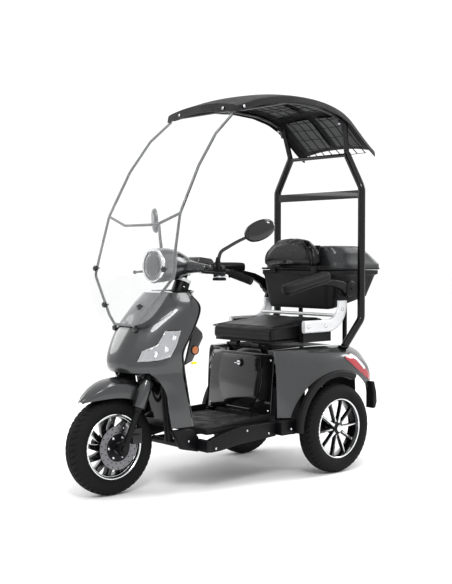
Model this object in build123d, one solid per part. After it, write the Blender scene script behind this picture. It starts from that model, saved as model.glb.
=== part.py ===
from build123d import *
from math import atan2, cos, hypot, pi, radians, sin
import os

# Three-wheel mobility scooter with a roof.  Millimetres, +Z up, the front points to -Y and the
# left side to +X.  Lengthwise places are measured from the steering datum of the drawing, and
# every node is moved by -MIDDLE_Y at the end, so that the origin lies on the ground under the
# middle of the overall length.

os.makedirs("parts", exist_ok=True)

# ---------------------------------------------------------------- driving dimensions
TYRE_RADIUS = 205.0          # 3.00-10 tyre
TYRE_HALF_WIDTH = 46.0
RIM_RADIUS = 139.0
FRONT_AXLE_Y = -482.0
REAR_AXLE_Y = 562.0
TRACK_HALF = 311.0
AXLE_Z = TYRE_RADIUS
TRUNK_REAR_Y = 985.0
FRONT_Y = FRONT_AXLE_Y - TYRE_RADIUS
MIDDLE_Y = (FRONT_Y + TRUNK_REAR_Y) / 2

RAKE = radians(23.0)         # lean of the steering axis
HEAD_Y = -110.0              # point on the steering axis
HEAD_Z = 835.0
LEG_OFFSET = 84.0            # fork legs ahead of the steering axis
LEG_X = 92.0
STEERER_RADIUS = 14.0
RUNNING_GAP = 0.05           # radial clearance of shafts and hinge pins

SHELL = 4.0                  # moulded cover thickness
MIRROR_REACH = 385.0         # outermost point of both mirrors
SEAT_HINGE = (292.0, 588.0)
ARM_PIVOT = (705.0, 845.0)
ARM_INNER = 240.0            # inner faces of the arm brackets
PIN_RADIUS = 6.0
HOOP_X = 285.0
HOOP_Y = 778.0
HOOP_RADIUS = 18.0
ROOF_HALF_WIDTH = 240.0


# ---------------------------------------------------------------- helpers
def bar(start, end, radius):
    """Straight round bar between two points."""
    run = Vector(*end) - Vector(*start)
    return extrude(Plane(origin=start, z_dir=run) * Circle(radius), run.length)


def tube(points, radius, bends, bore=0.0):
    """Round tube along straight runs joined by tangent arcs."""
    path = FilletPolyline(*points, radius=bends)
    start = Plane(origin=path @ 0, z_dir=path % 0)
    body = sweep(start * Circle(radius), path=path)
    if bore:
        body -= sweep(start * Circle(bore), path=path)
    return body


def ring_x(outer, inner, x_low, x_high, y=0.0, z=0.0):
    """Ring about a crosswise axis through (y, z)."""
    plane = Plane(origin=(x_low, y, z), z_dir=(1, 0, 0))
    ring = extrude(plane * Circle(outer), x_high - x_low)
    if inner:
        ring -= extrude(plane * Circle(inner), x_high - x_low)
    return ring


def box(x_low, x_high, y_low, y_high, z_low, z_high):
    """Box between its two corners."""
    size = (x_high - x_low, y_high - y_low, z_high - z_low)
    centre = ((x_low + x_high) / 2, (y_low + y_high) / 2, (z_low + z_high) / 2)
    return Pos(*centre) * Box(*size)


def side_plate(outline, x_low, x_high):
    """Plate with a (y, z) outline between two crosswise places."""
    points = [(x_low, y, z) for y, z in outline]
    return extrude(make_face(Polyline(*points, close=True)), x_high - x_low, dir=(1, 0, 0))


def inset(outline, gap):
    """A closed outline shrunk about its centre, so that its edges move in by about a gap."""
    middle_a = sum(a for a, b in outline) / len(outline)
    middle_b = sum(b for a, b in outline) / len(outline)
    reach = min(hypot(a - middle_a, b - middle_b) for a, b in outline)
    keep = 1 - 2 * gap / reach
    return [(middle_a + (a - middle_a) * keep, middle_b + (b - middle_b) * keep)
            for a, b in outline]


def both(part):
    """The part and its mirror image on the other side."""
    return part + part.mirror(Plane.YZ)


def mirrored(half):
    """Full outline from the half on the +X side, whose first point is on the centre line."""
    return [(-x, other) for x, other in reversed(half[1:])] + half


def shifted(points, distance):
    """A polyline moved sideways by a distance, with mitred corners."""
    moved = []
    for i, (a, b) in enumerate(points):
        before = points[max(i - 1, 0)]
        after = points[min(i + 1, len(points) - 1)]
        into = (a - before[0], b - before[1])
        out = (after[0] - a, after[1] - b)
        into = into if hypot(*into) else out
        out = out if hypot(*out) else into
        into = (into[0] / hypot(*into), into[1] / hypot(*into))
        out = (out[0] / hypot(*out), out[1] / hypot(*out))
        normal = (-(into[1] + out[1]), into[0] + out[0])
        scale = distance / max(0.5, (normal[0] * -into[1] + normal[1] * into[0]))
        moved.append((a + normal[0] * scale, b + normal[1] * scale))
    return moved


def skin(stations, place, thickness, lift=0.0):
    """Moulded cover lofted through open outlines; lift moves its face outwards."""
    faces = []
    for level, outline in stations:
        face = shifted(outline, -lift) if lift else outline
        back = shifted(outline, thickness)
        loop = [place(level, a, b) for a, b in face + back[::-1]]
        faces.append(make_face(Polyline(*loop, close=True)))
    return loft(faces, ruled=True)


def level_z(z, x, y):
    return (x, y, z)


def level_y(y, x, z):
    return (x, y, z)


STEER_AXIS = Vector(0, sin(RAKE), cos(RAKE))
STEER = Plane(origin=(0, HEAD_Y, HEAD_Z), x_dir=(1, 0, 0), z_dir=STEER_AXIS)


def steer_point(x, back, up):
    """World place of a point in the steering frame: sideways, backwards and up the axis."""
    return tuple((STEER * Pos(x, back, up)).position)


def steer_bar(x, back, up_low, up_high, radius, bore=0.0):
    """Bar along the steering axis."""
    body = bar(steer_point(x, back, up_low), steer_point(x, back, up_high), radius)
    if bore:
        body -= bar(steer_point(x, back, up_low), steer_point(x, back, up_high), bore)
    return body


# ---------------------------------------------------------------- wheels
BEAD = 30.0                  # half width at the rim
AXLE_RADIUS = 8.0
HUB_RADIUS = 30.0


def tyre(x, y):
    """Tyre with a round crown, sidewalls and two bead seats."""
    wall = TYRE_HALF_WIDTH
    crown = Polyline((-BEAD, 0, RIM_RADIUS), (BEAD, 0, RIM_RADIUS))
    right = ThreePointArc((BEAD, 0, RIM_RADIUS), (wall, 0, 170), (wall - 14, 0, 197))
    top = ThreePointArc((wall - 14, 0, 197), (0, 0, TYRE_RADIUS), (14 - wall, 0, 197))
    left = ThreePointArc((14 - wall, 0, 197), (-wall, 0, 170), (-BEAD, 0, RIM_RADIUS))
    section = make_face([crown, right, top, left])
    return Pos(x, y, AXLE_Z) * revolve(section, Axis.X, 360)


def rim_barrel(x, y, outboard):
    """Rim band with a deeper outboard lip."""
    inner = RIM_RADIUS - 10
    barrel = ring_x(RIM_RADIUS, inner, x - BEAD, x + BEAD, y, AXLE_Z)
    lip_low, lip_high = sorted((x + outboard * BEAD, x + outboard * (BEAD + 6)))
    return barrel + ring_x(RIM_RADIUS, inner, lip_low, lip_high, y, AXLE_Z)


def front_rim():
    """Turbine rim: twelve curved blades between the hub and the band."""
    rim = rim_barrel(0, FRONT_AXLE_Y, 1)
    blade_count = 12
    blade = Polyline((24, -12), (70, -14), (132, -30), (132, -8), (75, 10), (24, 12), close=True)
    for i in range(blade_count):
        angle = 2 * pi * i / blade_count
        plane = Plane(origin=(-16, FRONT_AXLE_Y, AXLE_Z), x_dir=(0, cos(angle), sin(angle)),
                      z_dir=(1, 0, 0))
        rim += extrude(plane * make_face(blade), 32)
    rim += ring_x(HUB_RADIUS, 0, -34, 34, FRONT_AXLE_Y, AXLE_Z)
    bore = ring_x(AXLE_RADIUS + RUNNING_GAP, 0, -60, 60, FRONT_AXLE_Y, AXLE_Z)
    return rim - bore


def front_disc():
    """Drilled brake disc on a black carrier, on the left of the front wheel."""
    disc = ring_x(92, 58, 58, 62, FRONT_AXLE_Y, AXLE_Z)
    hole_circles = ((66, 18), (84, 18))
    for radius, count in hole_circles:
        for i in range(count):
            angle = 2 * pi * (i + (radius > 70) / 2) / count
            y = FRONT_AXLE_Y + radius * cos(angle)
            z = AXLE_Z + radius * sin(angle)
            disc -= ring_x(3, 0, 56, 64, y, z)
    carrier = ring_x(59, 34, 56, 58, FRONT_AXLE_Y, AXLE_Z)
    neck = ring_x(40, AXLE_RADIUS + 6, 34, 58, FRONT_AXLE_Y, AXLE_Z)
    return disc + carrier + neck


def rear_rim(side):
    """Rim with ten straight spokes and a thin five-point star on its outboard face."""
    x = side * TRACK_HALF
    rim = rim_barrel(x, REAR_AXLE_Y, side)
    low, high = sorted((x, x + side * 20))
    for i in range(10):
        angle = radians(36 * i)
        plane = Plane(origin=(low, REAR_AXLE_Y, AXLE_Z), x_dir=(0, cos(angle), sin(angle)),
                      z_dir=(1, 0, 0))
        rim += extrude(plane * Pos(78, 0) * Rectangle(110, 11), high - low)
    star_low, star_high = sorted((x + side * 20, x + side * 34))
    for i in range(5):
        angle = radians(72 * i + 4)
        plane = Plane(origin=(star_low, REAR_AXLE_Y, AXLE_Z), x_dir=(0, cos(angle), sin(angle)),
                      z_dir=(1, 0, 0))
        arm = Polyline((10, -14), (60, -5), (134, -2.5), (134, 2.5), (60, 5), (10, 14), close=True)
        rim += extrude(plane * make_face(arm), star_high - star_low)
    hub_low, hub_high = sorted((x - side * 34, x + side * 36))
    rim += ring_x(HUB_RADIUS, 0, hub_low, hub_high, REAR_AXLE_Y, AXLE_Z)
    bore_low, bore_high = sorted((x - side * 40, x + side * 26))
    return rim - ring_x(12 + RUNNING_GAP, 0, bore_low, bore_high, REAR_AXLE_Y, AXLE_Z)


# ---------------------------------------------------------------- main frame
RAIL_RADIUS = 12.5
RAIL_X = 212.0
RACK_Y = 812.0               # rack posts and rear cross tube
HEAD_TUBE = (-330.0, -45.0)  # its span along the steering axis


def main_frame():
    """Welded tube frame: head tube, down tube, floor rails, seat frame and trunk rack."""
    low, high = HEAD_TUBE
    frame = steer_bar(0, 0, low, high, 27)
    frame += bar(steer_point(0, 0, low + 90), (0, -166, 190), 19)
    rail = [(130, -150, 180), (130, 180, 180), (RAIL_X, 285, 200), (RAIL_X, 365, 425),
            (RAIL_X, RACK_Y + 18, 440)]
    frame += both(tube(rail, RAIL_RADIUS, 40))
    frame += bar((-130, -150, 180), (130, -150, 180), 16)
    frame += bar((-130, 170, 180), (130, 170, 180), RAIL_RADIUS)
    for y, z in ((300, 212), (640, 433), (RACK_Y, 439)):
        frame += bar((-RAIL_X, y, z), (RAIL_X, y, z), RAIL_RADIUS)
    tray = box(-203, 203, 285, 478, 224, 233)
    frame += tray
    frame += both(bar((205, 468, 228), (205, 468, 430), 7))
    frame += both(bar((RAIL_X, 655, 438), (282, 655, 540), 9))
    # seat hinge posts and pin
    hinge_y, hinge_z = SEAT_HINGE
    frame += both(bar((120, 372, 425), (120, hinge_y, hinge_z), 9))
    frame += bar((-RAIL_X, 372, 425), (RAIL_X, 372, 425), RAIL_RADIUS)
    frame += bar((-130, hinge_y, hinge_z), (130, hinge_y, hinge_z), 5)
    # rear rack under the trunk
    frame += both(bar((150, RACK_Y, 440), (150, RACK_Y, 772), 11))
    rise = FLOOR_RISE / 270
    shelf = [(y, TRUNK_BOTTOM + rise * (y - 650) + lift) for y, lift in
             ((700, 0), (880, 0), (880, -8), (700, -8))]
    frame += side_plate(shelf, -165, 165)
    # damper sockets
    frame += both(bar((170, REAR_AXLE_Y, 330), (170, REAR_AXLE_Y, 470), 20))
    frame += bar((-RAIL_X, REAR_AXLE_Y, 448), (RAIL_X, REAR_AXLE_Y, 448), 10)
    frame -= both(bar((170, REAR_AXLE_Y, 320), (170, REAR_AXLE_Y, 445), 12))
    # head tube bore
    frame -= steer_bar(0, 0, low - 40, high + 1, 22)
    return frame


def head_bearings():
    """Two bearing rings between the head tube and the steerer."""
    low, high = HEAD_TUBE
    inner = STEERER_RADIUS + RUNNING_GAP
    rings = steer_bar(0, 0, low, low + 13, 22, inner)
    return rings + steer_bar(0, 0, high - 13, high, 22, inner)


# ---------------------------------------------------------------- fairing and leg shield
# Half outlines of the fairing at rising heights, from the nose to the rear edge.
NOSE = [
    (512, [(0, -452), (50, -444), (98, -418), (135, -374), (160, -318), (172, -227)]),
    (540, [(0, -464), (52, -456), (102, -424), (140, -378), (164, -322), (177, -232)]),
    (600, [(0, -452), (55, -444), (108, -406), (146, -352), (170, -292), (184, -238)]),
    (690, [(0, -404), (58, -398), (112, -361), (152, -302), (177, -236), (187, -185)]),
    (780, [(0, -332), (58, -324), (108, -290), (150, -248), (177, -200), (188, -152)]),
    (842, [(0, -268), (48, -262), (86, -240), (112, -218), (126, -192), (134, -162)]),
]
# Outlines of the part below the nose, beside the wheel, from the arch edge to the rear edge.
LOWER = [
    (276, [(162, -288), (174, -286), (181, -250), (186, -184)]),
    (340, [(160, -302), (172, -298), (180, -258), (184, -195)]),
    (420, [(155, -318), (164, -308), (174, -270), (180, -212)]),
    (480, [(142, -362), (154, -340), (168, -298), (176, -224)]),
    (512, [(112, -406), (135, -374), (160, -318), (172, -227)]),
]
# Half outlines of the leg shield behind it, from its centre to its side.
SHIELD = [
    (276, [(0, -150), (60, -152), (120, -164), (182, -174)]),
    (420, [(0, -136), (60, -140), (120, -176), (178, -200)]),
    (540, [(0, -122), (60, -130), (120, -180), (176, -220)]),
    (600, [(0, -110), (60, -120), (120, -170), (183, -226)]),
    (690, [(0, -90), (55, -100), (115, -142), (186, -173)]),
    (780, [(0, -68), (52, -80), (110, -120), (187, -140)]),
    (836, [(0, -58), (48, -66), (90, -104), (135, -150)]),
]
LAMP_SIDE = [(-398, 604), (-342, 630), (-305, 686), (-240, 686), (-262, 628), (-292, 577), (-340, 565),
             (-418, 560)]


def fairing():
    """Grey front cover: rounded nose, two lower side pieces and a flat top."""
    nose = [(z, mirrored(half)) for z, half in NOSE]
    cover = skin(nose, level_z, SHELL)
    cover += both(skin(LOWER, level_z, SHELL))
    top = shifted(mirrored(NOSE[-1][1]), SHELL / 2)
    lid = make_face(Polyline(*[(x, y, 838) for x, y in top], close=True))
    cover += extrude(lid, 4)
    return cover - both(side_plate(LAMP_SIDE, 60, 220))


def marker_lamps():
    """Clear front lamps set into the fairing sides."""
    band = [(z, half[1:]) for z, half in NOSE[1:5]]
    glass = skin(band, level_z, 9, lift=3)
    window = side_plate(inset(LAMP_SIDE, 0.6), 60, 220)
    return both(glass & window)


def leg_shield():
    """Black inner panel with a lip around the steering column and two side pods."""
    panel = skin([(z, mirrored(half)) for z, half in SHIELD], level_z, -SHELL)
    rim = [(-133, -158), (-133, -150), (-90, -106), (-48, -68), (0, -60), (48, -68), (90, -106),
           (133, -150), (133, -158)]
    lip = make_face(Polyline(*[(x, y, 834) for x, y in rim], close=True))
    panel += extrude(lip, 8)
    panel -= steer_bar(0, 0, -30, 60, 39)
    pod = [(-172, 700), (-160, 703), (-125, 672), (-180, 554), (-222, 538)]
    return panel + both(side_plate(pod, 168, 180))


# ---------------------------------------------------------------- floor
FLOOR_Z = 262.0


def footboard():
    """Floor tray with a stepped front edge and side curbs."""
    tray = box(-226, 226, -140, 240, FLOOR_Z - 26, FLOOR_Z)
    tray -= box(-216, 216, -130, 230, FLOOR_Z - 40, FLOOR_Z - 5)
    curb = side_plate([(-140, FLOOR_Z), (232, FLOOR_Z), (232, 292), (120, 288), (-60, 268)],
                      214, 226)
    return tray + both(curb)


def floor_mat():
    """Rubber mat with oval ribs."""
    mat = box(-200, 200, -132, 226, FLOOR_Z, FLOOR_Z + 3)
    for row in range(4):
        for column in range(3):
            x = -130 + column * 130
            y = -88 + row * 90
            oval = Pos(x, y, FLOOR_Z + 3) * (Ellipse(52, 34) - Ellipse(44, 26))
            mat += extrude(oval, 2)
    return mat


def side_trims():
    """Black trims: a shoe under the fairing, a stepped sill and its rear end by the wheel."""
    shoe = side_plate([(-292, 270), (-184, 264), (-152, 226), (-152, 164), (-242, 184)], 158, 190)
    sill = side_plate([(-148, 168), (-148, 222), (30, 262), (238, 262), (238, 196), (30, 186)],
                      230, 262)
    tail = side_plate([(238, 262), (330, 268), (330, 200), (238, 200)], 240, 296)
    joint = box(180, 262, -166, -140, 170, 222)
    return both(shoe + sill + tail + joint)


# ---------------------------------------------------------------- rear body
ARCH_Y = 570.0
ARCH_RADIUS = 268.5
# Outlines of the left side cover at stations going back, from the seat edge down to the sill.
SIDE = [
    (262, [(185, 572), (220, 568), (230, 500), (236, 400), (240, 272)]),
    (320, [(188, 574), (232, 570), (256, 505), (274, 410), (284, 272)]),
    (400, [(190, 576), (240, 573), (280, 520), (308, 430), (322, 272)]),
    (500, [(190, 578), (246, 577), (298, 545), (330, 480), (340, 272)]),
    (620, [(190, 578), (250, 577), (306, 553), (336, 492), (342, 272)]),
    (720, [(190, 572), (248, 570), (300, 536), (330, 476), (336, 272)]),
    (800, [(190, 548), (240, 544), (284, 505), (314, 450), (320, 300)]),
    (842, [(190, 490), (225, 486), (262, 460), (288, 420), (294, 340)]),
]
TAIL_LAMP_SIDE = [(608, 530), (681, 546), (806, 436), (800, 404), (690, 470)]


def wheel_arch(radius, x_low, x_high):
    return ring_x(radius, 0, x_low, x_high, ARCH_Y, AXLE_Z)


def rear_cover(side):
    """Grey side cover flowing into the rear fender."""
    cover = skin(SIDE, level_y, -SHELL)
    cover -= wheel_arch(ARCH_RADIUS, 200, 400)
    cover -= side_plate(TAIL_LAMP_SIDE, 225, 400)
    cover -= box(288, 400, 780, 900, 260, 406)
    return cover if side > 0 else cover.mirror(Plane.YZ)


def tail_lamps():
    """Red rear lamps with a clear upper edge, wrapped over the fender."""
    glass = skin(SIDE[3:], level_y, -12, lift=-3)
    window = side_plate(inset(TAIL_LAMP_SIDE, 0.8), 226, 400)
    return both(glass & window)


def rear_deck():
    """Black top and tail cover between the side covers."""
    top = box(-182, 182, 330, 720, 564, 569)
    top += side_plate([(716, 569), (716, 564), (800, 543), (842, 489), (850, 340), (855, 340),
                       (847, 492), (803, 548)], -182, 182)
    for x in (-150, 150):
        top -= bar((x, RACK_Y, 400), (x, RACK_Y, 700), 14)
    return top


def fender_lips():
    """Black lips around the rear wheel arches."""
    lip = wheel_arch(ARCH_RADIUS - 0.8, 312, 346) - wheel_arch(ARCH_RADIUS - 30, 300, 360)
    lip -= box(200, 400, 250, 900, -100, AXLE_Z + 4)
    lip -= box(200, 400, 700, 900, 0, AXLE_Z + 66)
    tail = side_plate([(812, 276), (826, 300), (818, 372), (806, 400), (798, 392)], 296, 340)
    return both(lip + tail)


def seat_base_panel():
    """Gloss black front panel under the seat with a raised shield and a lock bore."""
    outline = [(250, 280), (244, 280), (266, 545), (280, 558), (284, 554), (271, 543)]
    panel = side_plate(outline, -214, 214)
    shield = [(-120, 300), (120, 300), (150, 420), (128, 540), (-128, 540), (-150, 420)]
    slope = atan2(22, 265)
    face = Plane(origin=(0, 244, 280), x_dir=(1, 0, 0), z_dir=(0, -cos(slope), sin(slope)))
    relief = make_face(Polyline(*[(x, z - 280) for x, z in shield], close=True))
    panel += extrude(face * relief, 4)
    return panel - bar((0, 220, 505), (0, 300, 505), 11)


def lock_key():
    """Key barrel in the lock bore, with the key's bow in front."""
    barrel = bar((0, 246, 505), (0, 282, 505), 11 - RUNNING_GAP)
    bow = box(-10, 10, 228, 246, 503.5, 506.5)
    return barrel + bow


# ---------------------------------------------------------------- power
def batteries():
    """Five sealed batteries side by side on the tray."""
    width, gap = 77.0, 2.0
    row = Part()
    for i in range(5):
        x = (i - 2) * (width + gap)
        row += box(x - width / 2, x + width / 2, 290, 471, 233, 400)
        row += Pos(x, 310, 403) * Cylinder(6, 6) + Pos(x, 450, 403) * Cylinder(6, 6)
    return row


def controller():
    """Motor controller with cooling fins, hung under the seat frame."""
    case = box(-80, 80, 500, 600, 360, 400)
    for i in range(9):
        case += box(-72 + i * 18 - 2, -72 + i * 18 + 2, 500, 600, 352, 360)
    return case + box(-60, 60, 595, 628, 396, 400)


def axle_housing():
    """Rear axle: differential, motor, axle tubes, wheel spindles and damper rods."""
    y, z = REAR_AXLE_Y, AXLE_Z
    housing = ring_x(66, 0, -48, 48, y, z)
    housing += ring_x(28, 0, -262, 262, y, z)
    housing += ring_x(58, 0, 48, 150, y, z)
    housing += ring_x(12, 0, -TRACK_HALF - 24, TRACK_HALF + 24, y, z)
    housing += both(bar((170, y, z), (170, y, 400), 10))
    return housing


# ---------------------------------------------------------------- roof
# Side profile of the roof's top edge: (y, z).
ROOF_LINE = [(20, 1648), (80, 1668), (160, 1692), (300, 1716), (430, 1722), (560, 1714),
             (670, 1690), (745, 1655), (815, 1600), (880, 1548), (928, 1515)]
ROOF_CROWN = 24.0
ROOF_SKIRT = 30.0


def roof_outline(z):
    half = [(0, z + ROOF_CROWN), (110, z + ROOF_CROWN - 4), (195, z + 9),
            (ROOF_HALF_WIDTH - 8, z - 4), (ROOF_HALF_WIDTH, z - ROOF_SKIRT)]
    return mirrored(half)


def roof_shell():
    """Arched roof with turned-down sides and a front fascia."""
    shell = skin([(y, roof_outline(z)) for y, z in ROOF_LINE], level_y, -SHELL)
    front_y, front_z = ROOF_LINE[0]
    fascia = [(x, front_y, z) for x, z in roof_outline(front_z)]
    return shell + extrude(make_face(Polyline(*fascia, close=True)), 5, dir=(0, 1, 0))


def roof_height(y):
    """Height of the roof's edge line at a lengthwise place."""
    for (y0, z0), (y1, z1) in zip(ROOF_LINE, ROOF_LINE[1:]):
        if y0 <= y <= y1:
            return z0 + (z1 - z0) * (y - y0) / (y1 - y0)
    return ROOF_LINE[-1][1]


def roof_rails():
    """Two rails under the roof with crosspieces, from the windshield frame to the hoop."""
    rail = [(205, y, roof_height(y) - 22) for y in (32, 160, 300, 430, 560, 650, 712)]
    rails = both(tube(rail, 9, 60))
    clamp = bar((203.4, 746, 1598), (204.9, 742, 1634), 18)
    clamp += bar((205, 706, 1646), (204.6, 740, 1622), 8)
    clamp -= bar((190, HOOP_Y, 1490), (206.5, 738.5, 1653), HOOP_RADIUS + 0.2)
    rails += both(clamp)
    for y in (60, 360):
        z = roof_height(y) - 22
        rails += bar((-205, y, z), (205, y, z), 8)
    return rails


def roof_net():
    """Net of flat strips under the rear half of the roof."""
    rows = [400 + i * 72 for i in range(8)]
    drop, depth, width = 12.0, 5.0, 5.0
    net = Part()
    for y in rows:
        z = roof_height(y) - drop
        net += box(-190, 190, y - width / 2, y + width / 2, z - depth, z)
    upper = [(y, roof_height(y) - drop) for y in [rows[0] - 8] + rows[1:-1] + [rows[-1] + 8]]
    lower = [(y, z - depth) for y, z in reversed(upper)]
    for x in (-180, -108, -36, 36, 108, 180):
        net += side_plate(upper + lower, x - width / 2, x + width / 2)
    return net


def roof_hoop():
    """Hoop of two poles with flanges, a lower and an upper crossbar."""
    pole = [(HOOP_X, 660, 574), (HOOP_X, HOOP_Y, 700), (HOOP_X, HOOP_Y, 1325), (190, HOOP_Y, 1490)]
    hoop = both(tube(pole, HOOP_RADIUS, 45))
    hoop += both(bar((190, HOOP_Y, 1484), (205, 742, 1638), 13))
    hoop += box(-HOOP_X, HOOP_X, HOOP_Y - 9, HOOP_Y + 9, 1275, 1313)
    hoop += bar((-192, HOOP_Y, 1486), (192, HOOP_Y, 1486), 9)
    flange = Pos(HOOP_X, 655, 576) * Cylinder(26, 8)
    return hoop + both(flange)


# ---------------------------------------------------------------- windshield
SHIELD_RODS = [(215, 20, 1615), (228, -91, 1518), (241, -196, 1376), (251, -304, 1174),
               (266, -345, 1000), (278, -360, 914), (122, -396, 747), (75, -401, 708)]
ROD_RADIUS = 6.0
# Heights of the clear sheet with its half width and the place of its edge.
SHEET = [(704, 72, -414), (735, 165, -407), (795, 236, -399), (900, 298, -376), (1040, 294, -350),
         (1174, 280, -322), (1270, 273, -274), (1376, 268, -214), (1518, 256, -109), (1606, 246, -12)]
SHEET_BOW = 26.0
KNOBS = ((243, -358, 945), (125, -391, 790))
FOOT_KNOB = (72, 692)        # its place on the nose


def windshield_frame():
    """Rod hoop round the clear sheet and its dipped crossbar."""
    left = SHIELD_RODS
    right = [(-x, y, z) for x, y, z in reversed(left)]
    radii = [80, 80, 80, 80, 30, 25, 25, 25, 25, 30, 80, 80, 80, 80]
    frame = tube(left + right, ROD_RADIUS, radii)
    dip = [(250, -304, 1174), (112, -318, 1130), (-112, -318, 1130), (-250, -304, 1174)]
    frame += tube(dip, ROD_RADIUS, 30)
    x, z = FOOT_KNOB
    tab = box(x - 6, x + 6, -399, -396, z - 8, 708) - bar((x, -410, z), (x, -390, z), 4.5)
    return frame + both(tab)


def sheet_sag(half_width):
    """How far the sheet bows forward of its edges at one height."""
    return SHEET_BOW * (half_width / 298) ** 2


def windshield():
    """Clear bent sheet in front of the rods, with holes for its knobs."""
    stations = []
    for z, half_width, y in SHEET:
        sag = sheet_sag(half_width)
        bow = [(half_width * f, y - sag * (1 - f * f)) for f in (0, 0.25, 0.5, 0.75, 1)]
        stations.append((z, mirrored(bow)))
    sheet = skin(stations, level_z, SHELL)
    for x, y, z in KNOBS:
        sheet -= both(bar((x, y - 80, z), (x, y + 20, z), 5))
    return sheet


def sheet_front(x, z):
    """Lengthwise place of the sheet's outer face at a point seen from the front."""
    for (z0, w0, y0), (z1, w1, y1) in zip(SHEET, SHEET[1:]):
        if z0 <= z <= z1:
            f = (z - z0) / (z1 - z0)
            half_width = w0 + (w1 - w0) * f
            return y0 + (y1 - y0) * f - sheet_sag(half_width) * (1 - (x / half_width) ** 2)
    return SHEET[0][2]


def windshield_knobs():
    """Round black knobs whose studs reach through the sheet to the rods."""
    knobs = []
    for x, y, z in KNOBS:
        face = sheet_front(x, z) - 9
        knob = bar((x, face - 10, z), (x, face, z), 12) + bar((x, face, z), (x, y - 9, z), 4)
        knobs.append(both(knob))
    x, z = FOOT_KNOB
    foot = bar((x, -411, z), (x, -399, z), 8.5) + bar((x, -399, z), (x, -393, z), 4)
    return knobs[0] + knobs[1] + both(foot)


# ---------------------------------------------------------------- trunk
TRUNK_BOTTOM = 745.0
TRUNK_RIM = 932.0
FLOOR_RISE = 60.0            # from the front of the trunk's floor to its rear


def rounded_level(z, half_width, y_low, y_high, radius):
    centre = (0, (y_low + y_high) / 2, z)
    return Plane(origin=centre) * RectangleRounded(2 * half_width, y_high - y_low, radius)


def below_floor(lift):
    """Everything under the trunk's floor, which rises towards the rear."""
    start, end = TRUNK_BOTTOM + lift, TRUNK_BOTTOM + FLOOR_RISE + lift
    return side_plate([(600, start), (650, start), (920, end), (1000, end), (1000, 600), (600, 600)],
                      -300, 300)


def trunk_body():
    """Open box with a sloping floor and a rim."""
    outer = loft([rounded_level(TRUNK_BOTTOM, 214, 642, 920, 30),
                  rounded_level(TRUNK_RIM, 238, 612, 962, 34)])
    inner = loft([rounded_level(TRUNK_BOTTOM, 210, 647, 916, 26),
                  rounded_level(TRUNK_RIM + 1, 234, 616, 958, 30)])
    body = (outer - below_floor(0)) - (inner - below_floor(SHELL))
    rim = extrude(rounded_level(TRUNK_RIM - 22, 244, 610, 974, 36), 20)
    rim -= extrude(rounded_level(TRUNK_RIM - 22, 234, 616, 960, 30), 20)
    return body + rim


def lid_levels(grow):
    """Outlines of the lid's raised part, from its foot to its top."""
    low = TRUNK_RIM + 1
    levels = []
    for z, half_width, rear in ((low, 245, 984), (low + 28, 244, 979), (1014, 238, 903),
                                (1048, 224, 842)):
        z = z if z == low or grow == 0 else z + grow
        levels.append(rounded_level(z, half_width + grow, 640 - grow, rear + grow, 36 + grow))
    return levels


def trunk_lid():
    """Hollow lid with a flat front flange, a raised part and mounting blocks for the pad."""
    low = TRUNK_RIM + 1
    flange = extrude(rounded_level(low, 246, 604, TRUNK_REAR_Y, 38), 9)
    outer = flange + loft(lid_levels(0), ruled=True)
    lid = outer - loft(lid_levels(-SHELL), ruled=True)
    return lid + both(box(60, 110, 632.5, 643, 958, 1004))


def backrest_pad():
    """Padded back cushion on the front of the lid."""
    half = [(182, 948), (181, 990), (168, 1036), (138, 1070), (92, 1092)]
    outline = half + [(-x, z) for x, z in reversed(half)]
    face = make_face(Polyline(*[(x, z) for x, z in outline], close=True))
    pad = extrude(Plane(origin=(0, 632, 0), x_dir=(1, 0, 0), z_dir=(0, -1, 0)) * face, 70)
    return fillet(pad.faces().sort_by(Axis.Y)[0].edges(), 18)


# ---------------------------------------------------------------- seat
def seat_cushion():
    """Thick seat cushion, a little higher at the back."""
    block = side_plate([(256, 606), (256, 662), (272, 673), (606, 713), (618, 703), (620, 613),
                        (283, 613), (283, 606)], -212, 212)
    return fillet(block.edges().filter_by(Axis.Z).sort_by(Axis.Y)[:2], 22)


def seat_pan():
    """Seat plate with two hinge barrels, side flanges for the arm brackets and the arm posts."""
    hinge_y, hinge_z = SEAT_HINGE
    pan = box(-204, 204, 285, 430, 601, 612) + box(-218, 218, 425, 622, 601, 612)
    barrel = bar((50, hinge_y, hinge_z), (100, hinge_y, hinge_z), 14)
    barrel -= bar((40, hinge_y, hinge_z), (110, hinge_y, hinge_z), 5 + RUNNING_GAP)
    flange = box(214, ARM_INNER, 430, 615, 601, 692)
    return pan + both(barrel) + both(flange) + arm_posts()


def arm_brackets():
    """Silver flat oval tubes that bend up to the armrest posts, joined by a round crossbar."""
    x = ARM_INNER + 11
    path = FilletPolyline((x, 418, 674), (x, 680, 674), (x, 680, 790), radius=100)
    section = Plane(origin=path @ 0, x_dir=(1, 0, 0), z_dir=path % 0)
    bracket = sweep(section * RectangleRounded(22, 58, 10), path=path)
    return both(bracket) + bar((-ARM_INNER - 4, 634, 720), (ARM_INNER + 4, 634, 720), 8)


def armrest(side, tilt):
    """Armrest with its knuckle, tilted about its pivot by an angle in degrees."""
    y, z = ARM_PIVOT
    knuckle = ring_x(38, 0, 263, 291, y, z)
    arm = side_plate([(y - 20, z + 36), (y - 190, z + 86), (y - 190, z + 62), (y - 30, z - 26)],
                     265, 287)
    pad = box(270, 326, y - 450, y - 156, z + 73, z + 124)
    pad = fillet(pad.edges().filter_by(Axis.X).sort_by(Axis.Y)[:2], 14)
    arm = knuckle + arm + pad - ring_x(PIN_RADIUS + RUNNING_GAP, 0, 240, 300, y, z)
    arm = arm.rotate(Axis((0, y, z), (1, 0, 0)), tilt)
    return arm if side > 0 else arm.mirror(Plane.YZ)


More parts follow.
